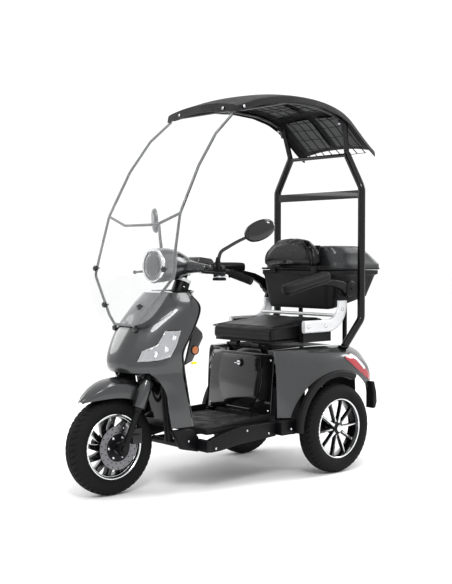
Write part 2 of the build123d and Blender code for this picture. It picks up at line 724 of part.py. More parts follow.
def arm_posts():
    """Posts on top of the brackets, with the armrest pins."""
    y, z = ARM_PIVOT
    post = side_plate([(660, 790), (704, 790), (y + 32, z + 20), (y - 10, z + 30)], 248, 262)
    return both(post + ring_x(PIN_RADIUS, 0, 262, 296, y, z))


# ---------------------------------------------------------------- steering
CROWN = (-392.0, -352.0)     # span of the fork crown along the steering axis
FORK_TRAVEL = 35.0
TUBE_LOW = -560.0            # lower end of the upper fork tubes


def steering_stem():
    """Steerer, fork crown and the two upper fork tubes."""
    low, high = CROWN
    stem = steer_bar(0, 0, low, 93, STEERER_RADIUS)
    crown = Pos(0, -LEG_OFFSET / 2, 0) * Box(2 * LEG_X + 44, LEG_OFFSET + 36, high - low)
    stem += STEER * Pos(0, 0, (low + high) / 2) * crown
    stem += both(steer_bar(LEG_X, -LEG_OFFSET, TUBE_LOW, low + 5, 19))
    stem -= both(steer_bar(LEG_X, -LEG_OFFSET, TUBE_LOW - 1, low - 4, 13 + RUNNING_GAP))
    return stem


def fork_sliders():
    """Sliding fork legs with axle lugs and the front axle."""
    axle = STEER.to_local_coords(Vector(0, FRONT_AXLE_Y, AXLE_Z))
    leg = steer_bar(LEG_X, -LEG_OFFSET, axle.Z - 30, CROWN[0] - 10 - FORK_TRAVEL, 13)
    lug_y, lug_z = FRONT_AXLE_Y, AXLE_Z
    leg += ring_x(24, 0, LEG_X - 13, LEG_X + 13, lug_y, lug_z)
    leg += ring_x(15, 0, LEG_X + 13, LEG_X + 22, lug_y, lug_z)
    return both(leg) + ring_x(AXLE_RADIUS, 0, -LEG_X, LEG_X, lug_y, lug_z)


def brake_caliper():
    """Caliper around the disc, behind the left fork leg."""
    y, z = FRONT_AXLE_Y + 88, AXLE_Z + 38
    body = box(46, 74, y - 22, y + 26, z - 30, z + 34)
    body -= ring_x(96, 0, 56.5, 63.5, FRONT_AXLE_Y, AXLE_Z)
    arm = bar((78, y - 39, z + 6), (78, y + 10, z + 6), 5)
    return body + arm


# Fender sections: angle ahead of the vertical, half width, skirt, shoulder and ridge radii.
FENDER = [
    (37, 14, 240, 243, 249),
    (28, 40, 226, 246, 258),
    (16, 60, 214, 254, 270),
    (4, 70, 208, 262, 281),
    (-10, 74, 206, 266, 289),
    (-24, 76, 208, 268, 291),
    (-36, 76, 214, 268, 290),
]


def fender_point(angle, x, radius):
    turn = radians(angle)
    return (x, FRONT_AXLE_Y - radius * sin(turn), AXLE_Z + radius * cos(turn))


def front_fender():
    """Pointed front fender between the fork legs, with bosses over the legs."""
    stations = []
    for angle, width, skirt, shoulder, ridge in FENDER:
        half = [(0, ridge), (0.55 * width, ridge - 5), (0.88 * width, shoulder),
                (width, (shoulder + skirt) / 2), (width, skirt)]
        stations.append((angle, mirrored(half)))
    cover = skin(stations, fender_point, -3)
    clear = both(steer_bar(LEG_X, -LEG_OFFSET, -620, -300, 19.5))
    boss = both(steer_bar(LEG_X, -LEG_OFFSET, -545, -425, 28)) - clear
    return cover - clear + boss


BAR_HALF = [(0, -69, 932), (120, -48, 940), (200, -4, 931), (302, 39, 893)]


def bar_tube(radius):
    """Tube along the handlebar's bends."""
    points = [(-x, y, z) for x, y, z in reversed(BAR_HALF[1:])] + BAR_HALF
    return tube(points, radius, 45)


def handlebar():
    """Bent handlebar tube clamped on the steerer."""
    return bar_tube(11) + steer_bar(0, 0, 93, 131, 24)


GRIP_RUN = Vector(*BAR_HALF[3]) - Vector(*BAR_HALF[2])


def grip_sleeve(start, end, radius):
    """Round bar on the left handlebar end, between two fractions of its last run."""
    base = Vector(*BAR_HALF[2])
    return bar(tuple(base + GRIP_RUN * start), tuple(base + GRIP_RUN * end), radius)


def hand_grip(side):
    """Ribbed rubber grip with a closed end; the right one turns as the throttle."""
    gap = 0.0 if side > 0 else RUNNING_GAP
    end_gap = 0.0 if side > 0 else 0.004
    grip = grip_sleeve(0.16, 1.07, 15.5)
    for i in range(9):
        grip += grip_sleeve(0.2 + i * 0.09, 0.24 + i * 0.09, 17)
    grip -= grip_sleeve(0.1, 1.0 + end_gap, 11 + gap)
    return grip if side > 0 else grip.mirror(Plane.YZ)


POD_CENTRE = (172, -22, 934)
LEVER_PIVOT = (142, -86)


def switch_pods():
    """Switch housings with lever perches and mirror sockets, inboard of the grips."""
    pod = Location(POD_CENTRE, (0, 8, 24)) * Box(46, 46, 50)
    pod = fillet(pod.edges(), 8)
    x, y = LEVER_PIVOT
    perch = bar((152, -36, 936), (x - 2, y - 12, 930), 12)
    perch -= box(x - 26, x + 30, y - 30, y + 20, 923, 937)
    socket = bar((188, -40, 940), (194, -50, 968), 9)
    pod = pod + perch + socket
    pods = both(pod - bar_tube(11.1) - bar((x, y, 912), (x, y, 948), 4))
    for button in (horn_slot, turn_slot):
        pods -= button(0.6)
    return pods


def brake_lever(side):
    """Brake lever with its pivot pin and ball end."""
    x, y = LEVER_PIVOT
    lever = tube([(x, y, 930), (x + 30, y - 26, 930), (240, -128, 928), (310, -120, 924)], 5, 30)
    lever += bar((x, y, 918), (x, y, 944), 4 - RUNNING_GAP)
    lever += bar((x, y, 925), (x, y, 935), 8)
    lever += Pos(310, -120, 924) * Sphere(9)
    return lever if side > 0 else lever.mirror(Plane.YZ)


def mirror(side):
    """Rear-view mirror on a bent stem."""
    if side > 0:
        points = [(194, -50, 972), (198, -42, 1014), (250, 14, 1062), (292, 52, 1092)]
        centre, lean = (312, 66, 1108), (0, -24, 34)
    else:
        points = [(194, -50, 972), (200, -50, 1030), (252, -20, 1110), (288, 4, 1150)]
        centre, lean = (305, 14, 1166), (0, -46, 30)
    stem = tube(points, 6.5, 16)
    head = Location(centre, lean) * Rot(90, 0, 0) * extrude(Ellipse(74, 43), 11, both=True)
    head = fillet(head.edges(), 8)
    reach = head.bounding_box().max.X
    head = head.moved(Location((MIRROR_REACH - reach, 0, 0)))
    whole = stem + head
    return whole if side > 0 else whole.mirror(Plane.YZ)


LAMP_Z = 957.0
LAMP_RADIUS = 73.0


def lamp_section(y, z, radius):
    return Plane(origin=(0, y, z), z_dir=(0, -1, 0)) * Circle(radius)


def lamp_wing(grow):
    """Part of the cowl that covers the handlebar on the left side."""
    inner = Plane(origin=(30, -84, 948), z_dir=(1, 0, 0))
    outer = Plane(origin=(127, -46, 945), z_dir=(1, 0, 0))
    return loft([inner * RectangleRounded(80 + grow, 56 + grow, 14),
                 outer * RectangleRounded(44 + grow, 36 + grow, 12)])


def bar_opening():
    """Room for the handlebar, its clamp and the stem cover."""
    return bar_tube(12) + steer_bar(0, 0, 60, 134, 25) + steer_bar(0, 0, -20, 68, 35)


def headlight_shell():
    """Headlight cowl with wings over the handlebar."""
    outer = loft([lamp_section(-244, LAMP_Z, 73), lamp_section(-190, 961, 74),
                  lamp_section(-125, 960, 62), lamp_section(-62, 956, 38)])
    inner = loft([lamp_section(-246, LAMP_Z, 69.5), lamp_section(-190, 961, 70.5),
                  lamp_section(-129, 960, 57)])
    return outer + both(lamp_wing(0)) - inner - bar_opening()


def headlight_ring():
    """Chrome ring in front of the cowl."""
    plane = Plane(origin=(0, -244.5, LAMP_Z), z_dir=(0, -1, 0))
    ring = extrude(plane * (Circle(75) - Circle(64)), 12)
    return fillet(ring.edges().group_by(Axis.Y)[0], 2.5)


def headlight_lens():
    """Clear lens on a bowl with two round reflectors."""
    plane = Plane(origin=(0, -245, LAMP_Z), z_dir=(0, -1, 0))
    lens = extrude(plane * Circle(63.7), 8)
    bowl = extrude(Plane(origin=(0, -200, LAMP_Z + 3), z_dir=(0, -1, 0)) * Circle(60), 45)
    bowl -= extrude(Plane(origin=(0, -204, LAMP_Z + 28), z_dir=(0, -1, 0)) * Circle(26), 40)
    bowl -= extrude(Plane(origin=(0, -204, LAMP_Z - 22), z_dir=(0, -1, 0)) * Circle(26), 40)
    return lens + bowl


def dash_display():
    """Instrument hood behind the cowl."""
    hood = side_plate([(-58, 962), (-42, 996), (38, 988), (46, 962)], -62, 62)
    cowl = loft([lamp_section(-125, 960, 62.5), lamp_section(-61, 956, 39)])
    return hood - cowl - both(lamp_wing(1)) - bar_opening()


def stem_cover():
    """Black column cover between the fairing and the handlebar."""
    cover = steer_bar(0, 0, -8, 66, 34, STEERER_RADIUS + 6)
    collar = steer_bar(0, 0, 58, 66, 34, STEERER_RADIUS)
    return cover + collar


def horn_slot(grow):
    """Block of the horn button, on the rear face of the left pod; its slot is deeper for travel."""
    return box(164 - grow, 176 + grow, 1 - 4 * grow, 13, 924 - grow, 934 + grow)


def turn_slot(grow):
    """Block of the indicator switch; its slot also leaves room for the sideways travel."""
    side = 5 * grow
    return box(166 - side, 174 + side, -4 - grow, 10, 942 - grow, 948 + grow)


# ---------------------------------------------------------------- export
NODES = {
    "main_frame": main_frame,
    "head_bearings": head_bearings,
    "fairing": fairing,
    "marker_lamps": marker_lamps,
    "leg_shield": leg_shield,
    "footboard": footboard,
    "floor_mat": floor_mat,
    "side_trims": side_trims,
    "rear_cover_left": lambda: rear_cover(1),
    "rear_cover_right": lambda: rear_cover(-1),
    "tail_lamps": tail_lamps,
    "rear_deck": rear_deck,
    "fender_lips": fender_lips,
    "seat_base_panel": seat_base_panel,
    "lock_key": lock_key,
    "batteries": batteries,
    "controller": controller,
    "axle_housing": axle_housing,
    "roof_shell": roof_shell,
    "roof_rails": roof_rails,
    "roof_net": roof_net,
    "roof_hoop": roof_hoop,
    "windshield_frame": windshield_frame,
    "windshield": windshield,
    "windshield_knobs": windshield_knobs,
    "trunk_body": trunk_body,
    "trunk_lid": trunk_lid,
    "backrest_pad": backrest_pad,
    "seat_cushion": seat_cushion,
    "seat_pan": seat_pan,
    "arm_brackets": arm_brackets,
    "armrest_left": lambda: armrest(1, 12),
    "armrest_right": lambda: armrest(-1, 0),
    "steering_stem": steering_stem,
    "fork_sliders": fork_sliders,
    "brake_caliper": brake_caliper,
    "front_fender": front_fender,
    "handlebar": handlebar,
    "grip_left": lambda: hand_grip(1),
    "throttle_grip": lambda: hand_grip(-1),
    "switch_pods": switch_pods,
    "brake_lever_left": lambda: brake_lever(1),
    "brake_lever_right": lambda: brake_lever(-1),
    "mirror_left": lambda: mirror(1),
    "mirror_right": lambda: mirror(-1),
    "headlight_shell": headlight_shell,
    "headlight_ring": headlight_ring,
    "headlight_lens": headlight_lens,
    "dash_display": dash_display,
    "stem_cover": stem_cover,
    "horn_button": lambda: horn_slot(0),
    "turn_switch": lambda: turn_slot(0),
    "front_tyre": lambda: tyre(0, FRONT_AXLE_Y),
    "front_rim": front_rim,
    "front_disc": front_disc,
    "rear_tyre_left": lambda: tyre(TRACK_HALF, REAR_AXLE_Y),
    "rear_rim_left": lambda: rear_rim(1),
    "rear_tyre_right": lambda: tyre(-TRACK_HALF, REAR_AXLE_Y),
    "rear_rim_right": lambda: rear_rim(-1),
}

for name, make in NODES.items():
    print(name, flush=True)
    node = make().moved(Location((0, -MIDDLE_Y, 0)))
    export_step(node, f"parts/{name}.step")
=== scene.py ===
from math import atan2, cos, hypot, pi, radians, sin

import bmesh
import bpy
from mathutils import Matrix, Vector


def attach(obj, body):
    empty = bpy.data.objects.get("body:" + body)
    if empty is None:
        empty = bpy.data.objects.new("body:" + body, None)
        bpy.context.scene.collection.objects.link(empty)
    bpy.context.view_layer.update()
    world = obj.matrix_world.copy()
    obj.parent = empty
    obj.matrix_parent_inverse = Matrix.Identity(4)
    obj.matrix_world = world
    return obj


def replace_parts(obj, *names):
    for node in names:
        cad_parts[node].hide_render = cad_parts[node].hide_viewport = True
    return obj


# Looks of a three-wheel mobility scooter with a roof.  Places are written as on the drawing, in
# millimetres, +Z up and the front towards -Y; place() turns them into the frame's metres.

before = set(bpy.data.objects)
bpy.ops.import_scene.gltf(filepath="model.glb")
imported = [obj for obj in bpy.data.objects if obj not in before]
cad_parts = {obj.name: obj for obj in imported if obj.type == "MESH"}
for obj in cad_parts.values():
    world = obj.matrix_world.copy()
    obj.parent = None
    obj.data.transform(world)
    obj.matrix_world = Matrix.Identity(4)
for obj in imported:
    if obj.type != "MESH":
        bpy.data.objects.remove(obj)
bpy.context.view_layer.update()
MIDDLE_Y = 149.0
AXLE_Z = 205.0
FRONT_Y = -482.0
REAR_Y = 562.0
TRACK = 311.0
SIDES = ((1, "left"), (-1, "right"))


def place(x, y, z):
    """A drawing place in the frame's metres."""
    return Vector((x / 1000, (y - MIDDLE_Y) / 1000, z / 1000))


# ---------------------------------------------------------------- materials
def ramp(nodes, links, source, low, high):
    """A colour ramp between two colours, driven by a texture."""
    node = nodes.new("ShaderNodeValToRGB")
    node.color_ramp.elements[0].color = (*low, 1)
    node.color_ramp.elements[1].color = (*high, 1)
    node.color_ramp.elements[0].position = 0.3
    node.color_ramp.elements[1].position = 0.7
    links.new(source, node.inputs["Fac"])
    return node.outputs["Color"]


def span(nodes, links, source, low, high, start=0.3, end=0.7):
    """A number between low and high, driven by a texture."""
    node = nodes.new("ShaderNodeMapRange")
    node.inputs["From Min"].default_value = start
    node.inputs["From Max"].default_value = end
    node.inputs["To Min"].default_value = low
    node.inputs["To Max"].default_value = high
    links.new(source, node.inputs["Value"])
    return node.outputs["Result"]


def finish_of(name, colour, rough, metal=0.0, coat=0.0, grain=900.0, bump=0.0, vary=0.12,
              cells=False, wear_and_highlight=0.0, **sockets):
    """Surface with colour and roughness variation, a fine grain, and convex edges lightened: partly
    edge wear, partly a painted highlight.
    """
    material = bpy.data.materials.new(name)
    material.use_nodes = True
    nodes, links = material.node_tree.nodes, material.node_tree.links
    shader = nodes["Principled BSDF"]
    shader.inputs["Metallic"].default_value = metal
    shader.inputs["Coat Weight"].default_value = coat
    for socket, value in sockets.items():
        shader.inputs[socket.replace("_", " ")].default_value = value
    coords = nodes.new("ShaderNodeTexCoord")
    broad = nodes.new("ShaderNodeTexNoise")
    broad.inputs["Scale"].default_value = 9
    broad.inputs["Detail"].default_value = 4
    links.new(coords.outputs["Object"], broad.inputs["Vector"])
    low = [c * (1 - vary) for c in colour]
    high = [min(1, c * (1 + vary)) for c in colour]
    tint = ramp(nodes, links, broad.outputs["Fac"], low, high)
    # Convex edges, found by pointiness, are mixed towards a lighter colour: partly edge wear,
    # partly a painted highlight.
    if wear_and_highlight:
        geometry = nodes.new("ShaderNodeNewGeometry")
        edge = span(nodes, links, geometry.outputs["Pointiness"], 0, wear_and_highlight, 0.53, 0.62)
        blend = nodes.new("ShaderNodeMix")
        blend.data_type = "RGBA"
        links.new(edge, blend.inputs["Factor"])
        links.new(tint, blend.inputs["A"])
        blend.inputs["B"].default_value = (*[min(1, c * 1.8 + 0.008) for c in colour], 1)
        tint = blend.outputs["Result"]
    links.new(tint, shader.inputs["Base Color"])
    fine = nodes.new("ShaderNodeTexVoronoi" if cells else "ShaderNodeTexNoise")
    fine.inputs["Scale"].default_value = grain
    links.new(coords.outputs["Object"], fine.inputs["Vector"])
    height = fine.outputs["Distance" if cells else "Fac"]
    smooth = span(nodes, links, broad.outputs["Fac"], rough * 0.85, min(1, rough * 1.2))
    links.new(smooth, shader.inputs["Roughness"])
    if bump:
        relief = nodes.new("ShaderNodeBump")
        relief.inputs["Strength"].default_value = bump
        relief.inputs["Distance"].default_value = 0.0006
        links.new(height, relief.inputs["Height"])
        links.new(relief.outputs["Normal"], shader.inputs["Normal"])
    return material


def flake_paint(name, colour, rough=0.32):
    """Metallic paint with tiny flakes under a clear coat."""
    material = finish_of(name, colour, rough, metal=0.55, coat=1.0, Coat_Roughness=0.04)
    nodes, links = material.node_tree.nodes, material.node_tree.links
    shader = nodes["Principled BSDF"]
    coords = nodes.new("ShaderNodeTexCoord")
    flakes = nodes.new("ShaderNodeTexVoronoi")
    flakes.inputs["Scale"].default_value = 1600
    links.new(coords.outputs["Object"], flakes.inputs["Vector"])
    tint = ramp(nodes, links, flakes.outputs["Color"], [c * 0.82 for c in colour],
                [c * 1.22 for c in colour])
    links.new(tint, shader.inputs["Base Color"])
    return material


def clear_of(name, colour, rough=0.03, ribs=0.0, **sockets):
    """Clear moulded plastic or glass, with optional fine ribs."""
    material = finish_of(name, colour, rough, vary=0.03, **sockets)
    nodes, links = material.node_tree.nodes, material.node_tree.links
    shader = nodes["Principled BSDF"]
    shader.inputs["Transmission Weight"].default_value = 1.0
    if ribs:
        coords = nodes.new("ShaderNodeTexCoord")
        wave = nodes.new("ShaderNodeTexWave")
        wave.inputs["Scale"].default_value = ribs
        wave.inputs["Distortion"].default_value = 0.6
        relief = nodes.new("ShaderNodeBump")
        relief.inputs["Strength"].default_value = 0.5
        relief.inputs["Distance"].default_value = 0.001
        links.new(coords.outputs["Object"], wave.inputs["Vector"])
        links.new(wave.outputs["Fac"], relief.inputs["Height"])
        links.new(relief.outputs["Normal"], shader.inputs["Normal"])
    return material


def sheet_plastic(name):
    """Thin clear sheet: mostly see-through, with a faint haze and glossy reflections."""
    material = bpy.data.materials.new(name)
    material.use_nodes = True
    nodes, links = material.node_tree.nodes, material.node_tree.links
    shader = nodes["Principled BSDF"]
    shader.inputs["Base Color"].default_value = (0.6, 0.61, 0.62, 1)
    shader.inputs["IOR"].default_value = 1.45
    coords = nodes.new("ShaderNodeTexCoord")
    haze = nodes.new("ShaderNodeTexNoise")
    haze.inputs["Scale"].default_value = 5
    haze.inputs["Detail"].default_value = 5
    links.new(coords.outputs["Object"], haze.inputs["Vector"])
    links.new(span(nodes, links, haze.outputs["Fac"], 0.02, 0.06), shader.inputs["Roughness"])
    links.new(span(nodes, links, haze.outputs["Fac"], 0.1, 0.16), shader.inputs["Alpha"])
    return material


PAINT = flake_paint("cover_paint", (0.042, 0.0433, 0.045))
PAINT_DARK = flake_paint("panel_paint", (0.008, 0.008, 0.009), 0.22)
GLOSS = finish_of("gloss_black", (0.005, 0.005, 0.006), 0.12, coat=0.6, grain=300, bump=0.02,
                  wear_and_highlight=0.25)
SATIN = finish_of("satin_black", (0.006, 0.006, 0.007), 0.38, grain=700, bump=0.12, wear_and_highlight=0.3,
                  Specular_IOR_Level=0.25)
GRAIN = finish_of("grained_black", (0.009, 0.009, 0.01), 0.5, grain=650, bump=0.5, cells=True,
                  wear_and_highlight=0.25, Specular_IOR_Level=0.25)
TUBE = finish_of("tube_paint", (0.005, 0.005, 0.006), 0.22, coat=0.4, grain=260, bump=0.08,
                 wear_and_highlight=0.3, Specular_IOR_Level=0.25)
FRAME = finish_of("frame_paint", (0.008, 0.008, 0.009), 0.4, grain=350, bump=0.15, wear_and_highlight=0.5,
                  Specular_IOR_Level=0.25)
RUBBER = finish_of("rubber", (0.006, 0.006, 0.006), 0.62, grain=520, bump=0.4, vary=0.3,
                   Specular_IOR_Level=0.25)
TREAD = finish_of("tyre_rubber", (0.008, 0.008, 0.008), 0.72, grain=420, bump=0.5, vary=0.35,
                  wear_and_highlight=0.2, Specular_IOR_Level=0.25)
MAT = finish_of("mat_rubber", (0.015, 0.015, 0.016), 0.55, grain=600, bump=0.5, vary=0.25)
VINYL = finish_of("seat_vinyl", (0.005, 0.005, 0.006), 0.36, grain=420, bump=0.75, cells=True,
                  vary=0.2, Sheen_Weight=0.05, Specular_IOR_Level=0.25)
GLOSS_VINYL = finish_of("pad_vinyl", (0.004, 0.004, 0.005), 0.28, grain=480, bump=0.5, cells=True,
                        vary=0.2, coat=0.25, Specular_IOR_Level=0.25)
ARM_PAD = finish_of("arm_foam", (0.008, 0.008, 0.009), 0.45, grain=700, bump=0.5, vary=0.2,
                    Specular_IOR_Level=0.25)
LID = finish_of("lid_grey", (0.022, 0.023, 0.025), 0.34, grain=800, bump=0.25, wear_and_highlight=0.3, coat=0.2)
SILVER = finish_of("silver_paint", (0.62, 0.63, 0.64), 0.34, metal=0.25, coat=0.3, grain=600,
                   bump=0.1, vary=0.05, wear_and_highlight=0.2)
STEEL = finish_of("bright_steel", (0.62, 0.62, 0.64), 0.2, metal=1.0, grain=900, bump=0.1,
                  vary=0.08)
DISC = finish_of("ground_steel", (0.2, 0.2, 0.21), 0.34, metal=1.0, grain=1400, bump=0.3,
                 vary=0.15)
CHROME = finish_of("chrome", (0.8, 0.81, 0.83), 0.07, metal=1.0, grain=200, bump=0.02, vary=0.03)
MACHINED = finish_of("machined_rim", (0.7, 0.71, 0.72), 0.16, metal=1.0, grain=1600, bump=0.15,
                     vary=0.06)
MIRROR = finish_of("mirror_glass", (0.85, 0.87, 0.9), 0.03, metal=1.0, grain=60, bump=0.005,
                   vary=0.02)
CALIPER = finish_of("caliper_paint", (0.03, 0.03, 0.032), 0.35, metal=0.5, grain=600, bump=0.2,
                 wear_and_highlight=0.3)
NET = finish_of("net_strap", (0.006, 0.006, 0.006), 0.7, grain=1500, bump=0.6, vary=0.2,
                Specular_IOR_Level=0.25)
LINING = finish_of("roof_lining", (0.1, 0.102, 0.105), 0.6, grain=700, bump=0.4, vary=0.15)
AMBER = finish_of("amber_reflector", (0.36, 0.1, 0.01), 0.12, coat=1.0, grain=420, bump=0.7,
                  cells=True)
RED = finish_of("lamp_red", (0.34, 0.008, 0.02), 0.1, coat=1.0, grain=170, bump=0.55, cells=True)
LAMP_BACK = finish_of("lamp_reflector", (0.5, 0.51, 0.52), 0.14, metal=0.95, grain=95, bump=1.0,
                      cells=True, vary=0.06)
WHITE_LENS = finish_of("lens_white", (0.6, 0.61, 0.63), 0.12, coat=1.0, grain=190, bump=0.5,
                       cells=True, vary=0.05)
LENS = clear_of("lamp_lens", (0.97, 0.98, 0.99), ribs=14.0)
LAMP_COVER = clear_of("lamp_cover", (0.97, 0.98, 0.99), ribs=22.0)
SHEET_MATERIAL = sheet_plastic("clear_sheet")
YELLOW = finish_of("yellow_tag", (0.8, 0.6, 0.02), 0.4, grain=500, bump=0.2)
SCREEN = finish_of("screen", (0.03, 0.045, 0.05), 0.08, coat=1.0, grain=80, bump=0.01)
BATTERY = finish_of("battery_case", (0.03, 0.03, 0.035), 0.5, grain=700, bump=0.3)
RED_BUTTON = finish_of("button_red", (0.55, 0.03, 0.02), 0.3, grain=800, bump=0.2)


# ---------------------------------------------------------------- mesh helpers
def spline(points, steps):
    """Catmull-Rom curve through the points, with some steps to each span."""
    points = [Vector(p) for p in points]
    curve = []
    for i in range(len(points) - 1):
        a, b = points[i], points[i + 1]
        before = points[i - 1] if i else 2 * a - b
        after = points[i + 2] if i + 2 < len(points) else 2 * b - a
        for k in range(steps):
            t = k / steps
            curve.append(0.5 * (2 * a + (b - before) * t
                                + (2 * before - 5 * a + 4 * b - after) * t * t
                                + (3 * a - before - 3 * b + after) * t ** 3))
    return curve + [points[-1]]


def dense(rows, across, along):
    """A finer grid through a coarse one."""
    fine = [spline(row, across) for row in rows]
    columns = [spline(column, along) for column in zip(*fine)]
    return [list(row) for row in zip(*columns)]


def mirror_x(half):
    """Whole crosswise outline from the half on the +X side, whose first point is central."""
    return [(-p[0], *p[1:]) for p in reversed(half[1:])] + list(half)


def add(name, points, faces, body, material, sharp=35.0):
    """A new piece in frame metres that rides on a body."""
    mesh = bpy.data.meshes.new(name)
    mesh.from_pydata([tuple(p) for p in points], [], faces)
    mesh.validate()
    return wrap(name, mesh, body, material, sharp)


def wrap(name, mesh, body, material, sharp=35.0):
    """A piece from a mesh, with its material and body."""
    piece = bpy.data.objects.new(name, mesh)
    bpy.context.scene.collection.objects.link(piece)
    mesh.materials.clear()
    mesh.materials.append(material)
    shade(mesh, sharp)
    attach(piece, body)
    return piece


def shade(mesh, sharp=35.0):
    """Smooth shading that breaks at edges sharper than an angle in degrees."""
    mesh.shade_smooth()
    mesh.set_sharp_from_angle(angle=radians(sharp))


def settle(piece, sharp=35.0):
    """Fixes a piece's modifiers into its mesh."""
    graph = bpy.context.evaluated_depsgraph_get()
    mesh = bpy.data.meshes.new_from_object(piece.evaluated_get(graph))
    piece.modifiers.clear()
    piece.data = mesh
    shade(mesh, sharp)
    return piece


def grid_faces(rows, columns, around=False, keep=None):
    """Four-sided faces over a grid of points, closed around or not."""
    faces = []
    for r in range(rows - 1):
        for c in range(columns if around else columns - 1):
            if keep is None or keep(r, c):
                d = (c + 1) % columns
                faces.append((r * columns + c, r * columns + d, (r + 1) * columns + d,
                              (r + 1) * columns + c))
    return faces


def face_out(mesh, inside):
    """Turns every face's normal away from an inside point."""
    work = bmesh.new()
    work.from_mesh(mesh)
    bmesh.ops.remove_doubles(work, verts=work.verts, dist=1e-6)
    loose = [v for v in work.verts if not v.link_faces]
    bmesh.ops.delete(work, geom=loose, context="VERTS")
    bmesh.ops.recalc_face_normals(work, faces=work.faces)
    total = sum((f.calc_center_median() - inside).dot(f.normal) * f.calc_area()
                for f in work.faces)
    if total < 0:
        bmesh.ops.reverse_faces(work, faces=work.faces)
    work.to_mesh(mesh)
    work.free()


def cover(name, grid, body, material, inside, thick=4.0, keep=None, cut=(), sharp=40.0):
    """Moulded cover over a grid of places, with a thickness and optional cutters."""
    points = [place(*p) for row in grid for p in row]
    faces = grid_faces(len(grid), len(grid[0]), keep=keep)
    piece = add(name, points, faces, body, material, sharp)
    face_out(piece.data, place(*inside))
    solid = piece.modifiers.new("thickness", "SOLIDIFY")
    solid.thickness = thick / 1000
    solid.offset = -1
    for cutter in cut:
        hole = piece.modifiers.new("cut", "BOOLEAN")
        hole.object = cutter
        hole.operation = "DIFFERENCE"
        hole.solver = "EXACT"
    settle(piece, sharp)
    return piece


def cutter_of(name, points, faces):
    """A temporary solid for cutting; drop() removes it."""
    mesh = bpy.data.meshes.new(name)
    mesh.from_pydata([tuple(p) for p in points], [], faces)
    work = bmesh.new()
    work.from_mesh(mesh)
    bmesh.ops.recalc_face_normals(work, faces=work.faces)
    work.to_mesh(mesh)
    work.free()
    piece = bpy.data.objects.new(name, mesh)
    bpy.context.scene.collection.objects.link(piece)
    return piece


def prism_faces(count):
    """Two end faces and the walls between two outlines of a number of points."""
    faces = [tuple(range(count)), tuple(range(2 * count - 1, count - 1, -1))]
    for i in range(count):
        j = (i + 1) % count
        faces.append((i, j, count + j, count + i))
    return faces


def prism(outline, low, high):
    """Points and faces of a (y, z) outline between two crosswise places."""
    points = [place(x, y, z) for x in (low, high) for y, z in outline]
    return points, prism_faces(len(outline))


def drop(*pieces):
    """Removes temporary cutters."""
    for piece in pieces:
        bpy.data.objects.remove(piece)


def bevelled(name, points, faces, body, material, bevel, steps=3, sharp=40.0, slot=None):
    """A solid whose edges are all rounded."""
    piece = add(name, points, faces, body, material, sharp)
    face_out(piece.data, sum(points, Vector()) / len(points))
    soft = piece.modifiers.new("round", "BEVEL")
    soft.width = bevel / 1000
    soft.segments = steps
    soft.limit_method = "ANGLE"
    soft.angle_limit = radians(25)
    settle(piece, sharp)
    return piece


def plate(name, outline, low, high, body, material, bevel=2.0, **more):
    """Rounded plate with a (y, z) outline between two crosswise places."""
    return bevelled(name, *prism(outline, low, high), body, material, bevel, **more)


def block(name, x, y, z, body, material, bevel=3.0, **more):
    """Rounded block between (low, high) pairs."""
    outline = [(y[0], z[0]), (y[1], z[0]), (y[1], z[1]), (y[0], z[1])]
    return plate(name, outline, x[0], x[1], body, material, bevel, **more)


def turned(name, profile, centre, axis, body, material, segments=96, sharp=35.0,
           shape=None):
    """Turned piece: (along, radius) profile about an axis through a centre, closed if it ends
    where it starts."""
    axis = Vector(axis).normalized()
    side = axis.orthogonal().normalized()
    if abs(axis.x) > 0.9:
        side = Vector((0, 1, 0))
    other = axis.cross(side)
    points = []
    for k, (along, radius) in enumerate(profile):
        for i in range(segments):
            angle = 2 * pi * i / segments
            out = radius + (shape(k, i, along) if shape else 0)
            spoke = side * cos(angle) + other * sin(angle)
            offset = axis * along + spoke * out
            points.append(place(*(Vector(centre) + offset)))
    faces = grid_faces(len(profile), segments, around=True)
    piece = add(name, points, faces, body, material, sharp)
    work = bmesh.new()
    work.from_mesh(piece.data)
    bmesh.ops.remove_doubles(work, verts=work.verts, dist=1e-6)
    ends = [e for e in work.edges if e.is_boundary]
    if ends:
        bmesh.ops.holes_fill(work, edges=ends, sides=segments)
    bmesh.ops.recalc_face_normals(work, faces=work.faces)
    work.to_mesh(piece.data)
    work.free()
    shade(piece.data, sharp)
    return piece


def pipe(name, points, radius, body, material, sides=16, smooth=6, radii=None):
    """Round rod along a smooth curve through the points, with rounded ends."""
    line = [place(*p) for p in (spline(points, smooth) if smooth else points)]
    rings = []
    normal = (line[1] - line[0]).orthogonal().normalized()
    for i, spot in enumerate(line):
        ahead = (line[min(i + 1, len(line) - 1)] - line[max(i - 1, 0)]).normalized()
        normal = (normal - ahead * normal.dot(ahead)).normalized()
        across = ahead.cross(normal)
        size = radius if radii is None else radii(i / (len(line) - 1))
        rings.append((spot, ahead, normal, across, size / 1000))
    cap = [(-0.7, 0.35), (-0.35, 0.8)]
    stations = [(rings[0], a, r) for a, r in cap] + [(ring, 0, 1) for ring in rings]
    stations += [(rings[-1], -a, r) for a, r in reversed(cap)]
    verts = []
    for (spot, ahead, n, across, size), shift, scale in stations:
        for k in range(sides):
            angle = 2 * pi * k / sides
            spoke = n * cos(angle) + across * sin(angle)
            verts.append(spot + ahead * shift * size + spoke * size * scale)
    count = len(stations)
    faces = grid_faces(count, sides, around=True)
    faces.append(tuple(reversed(range(sides))))
    faces.append(tuple(range((count - 1) * sides, count * sides)))
    piece = add(name, verts, faces, body, material, 50)
    face_out(piece.data, sum(verts, Vector()) / len(verts))
    shade(piece.data, 50)
    return piece


def screw(name, spot, normal, body, radius=6.0, material=None):
    """Domed screw head with a round socket."""
    profile = [(0, radius), (radius * 0.35, radius), (radius * 0.62, radius * 0.8),
               (radius * 0.75, radius * 0.52), (radius * 0.3, radius * 0.48),
               (radius * 0.3, 0.01)]
    return turned(name, profile, spot, normal, body, material or STEEL, segments=24, sharp=50)


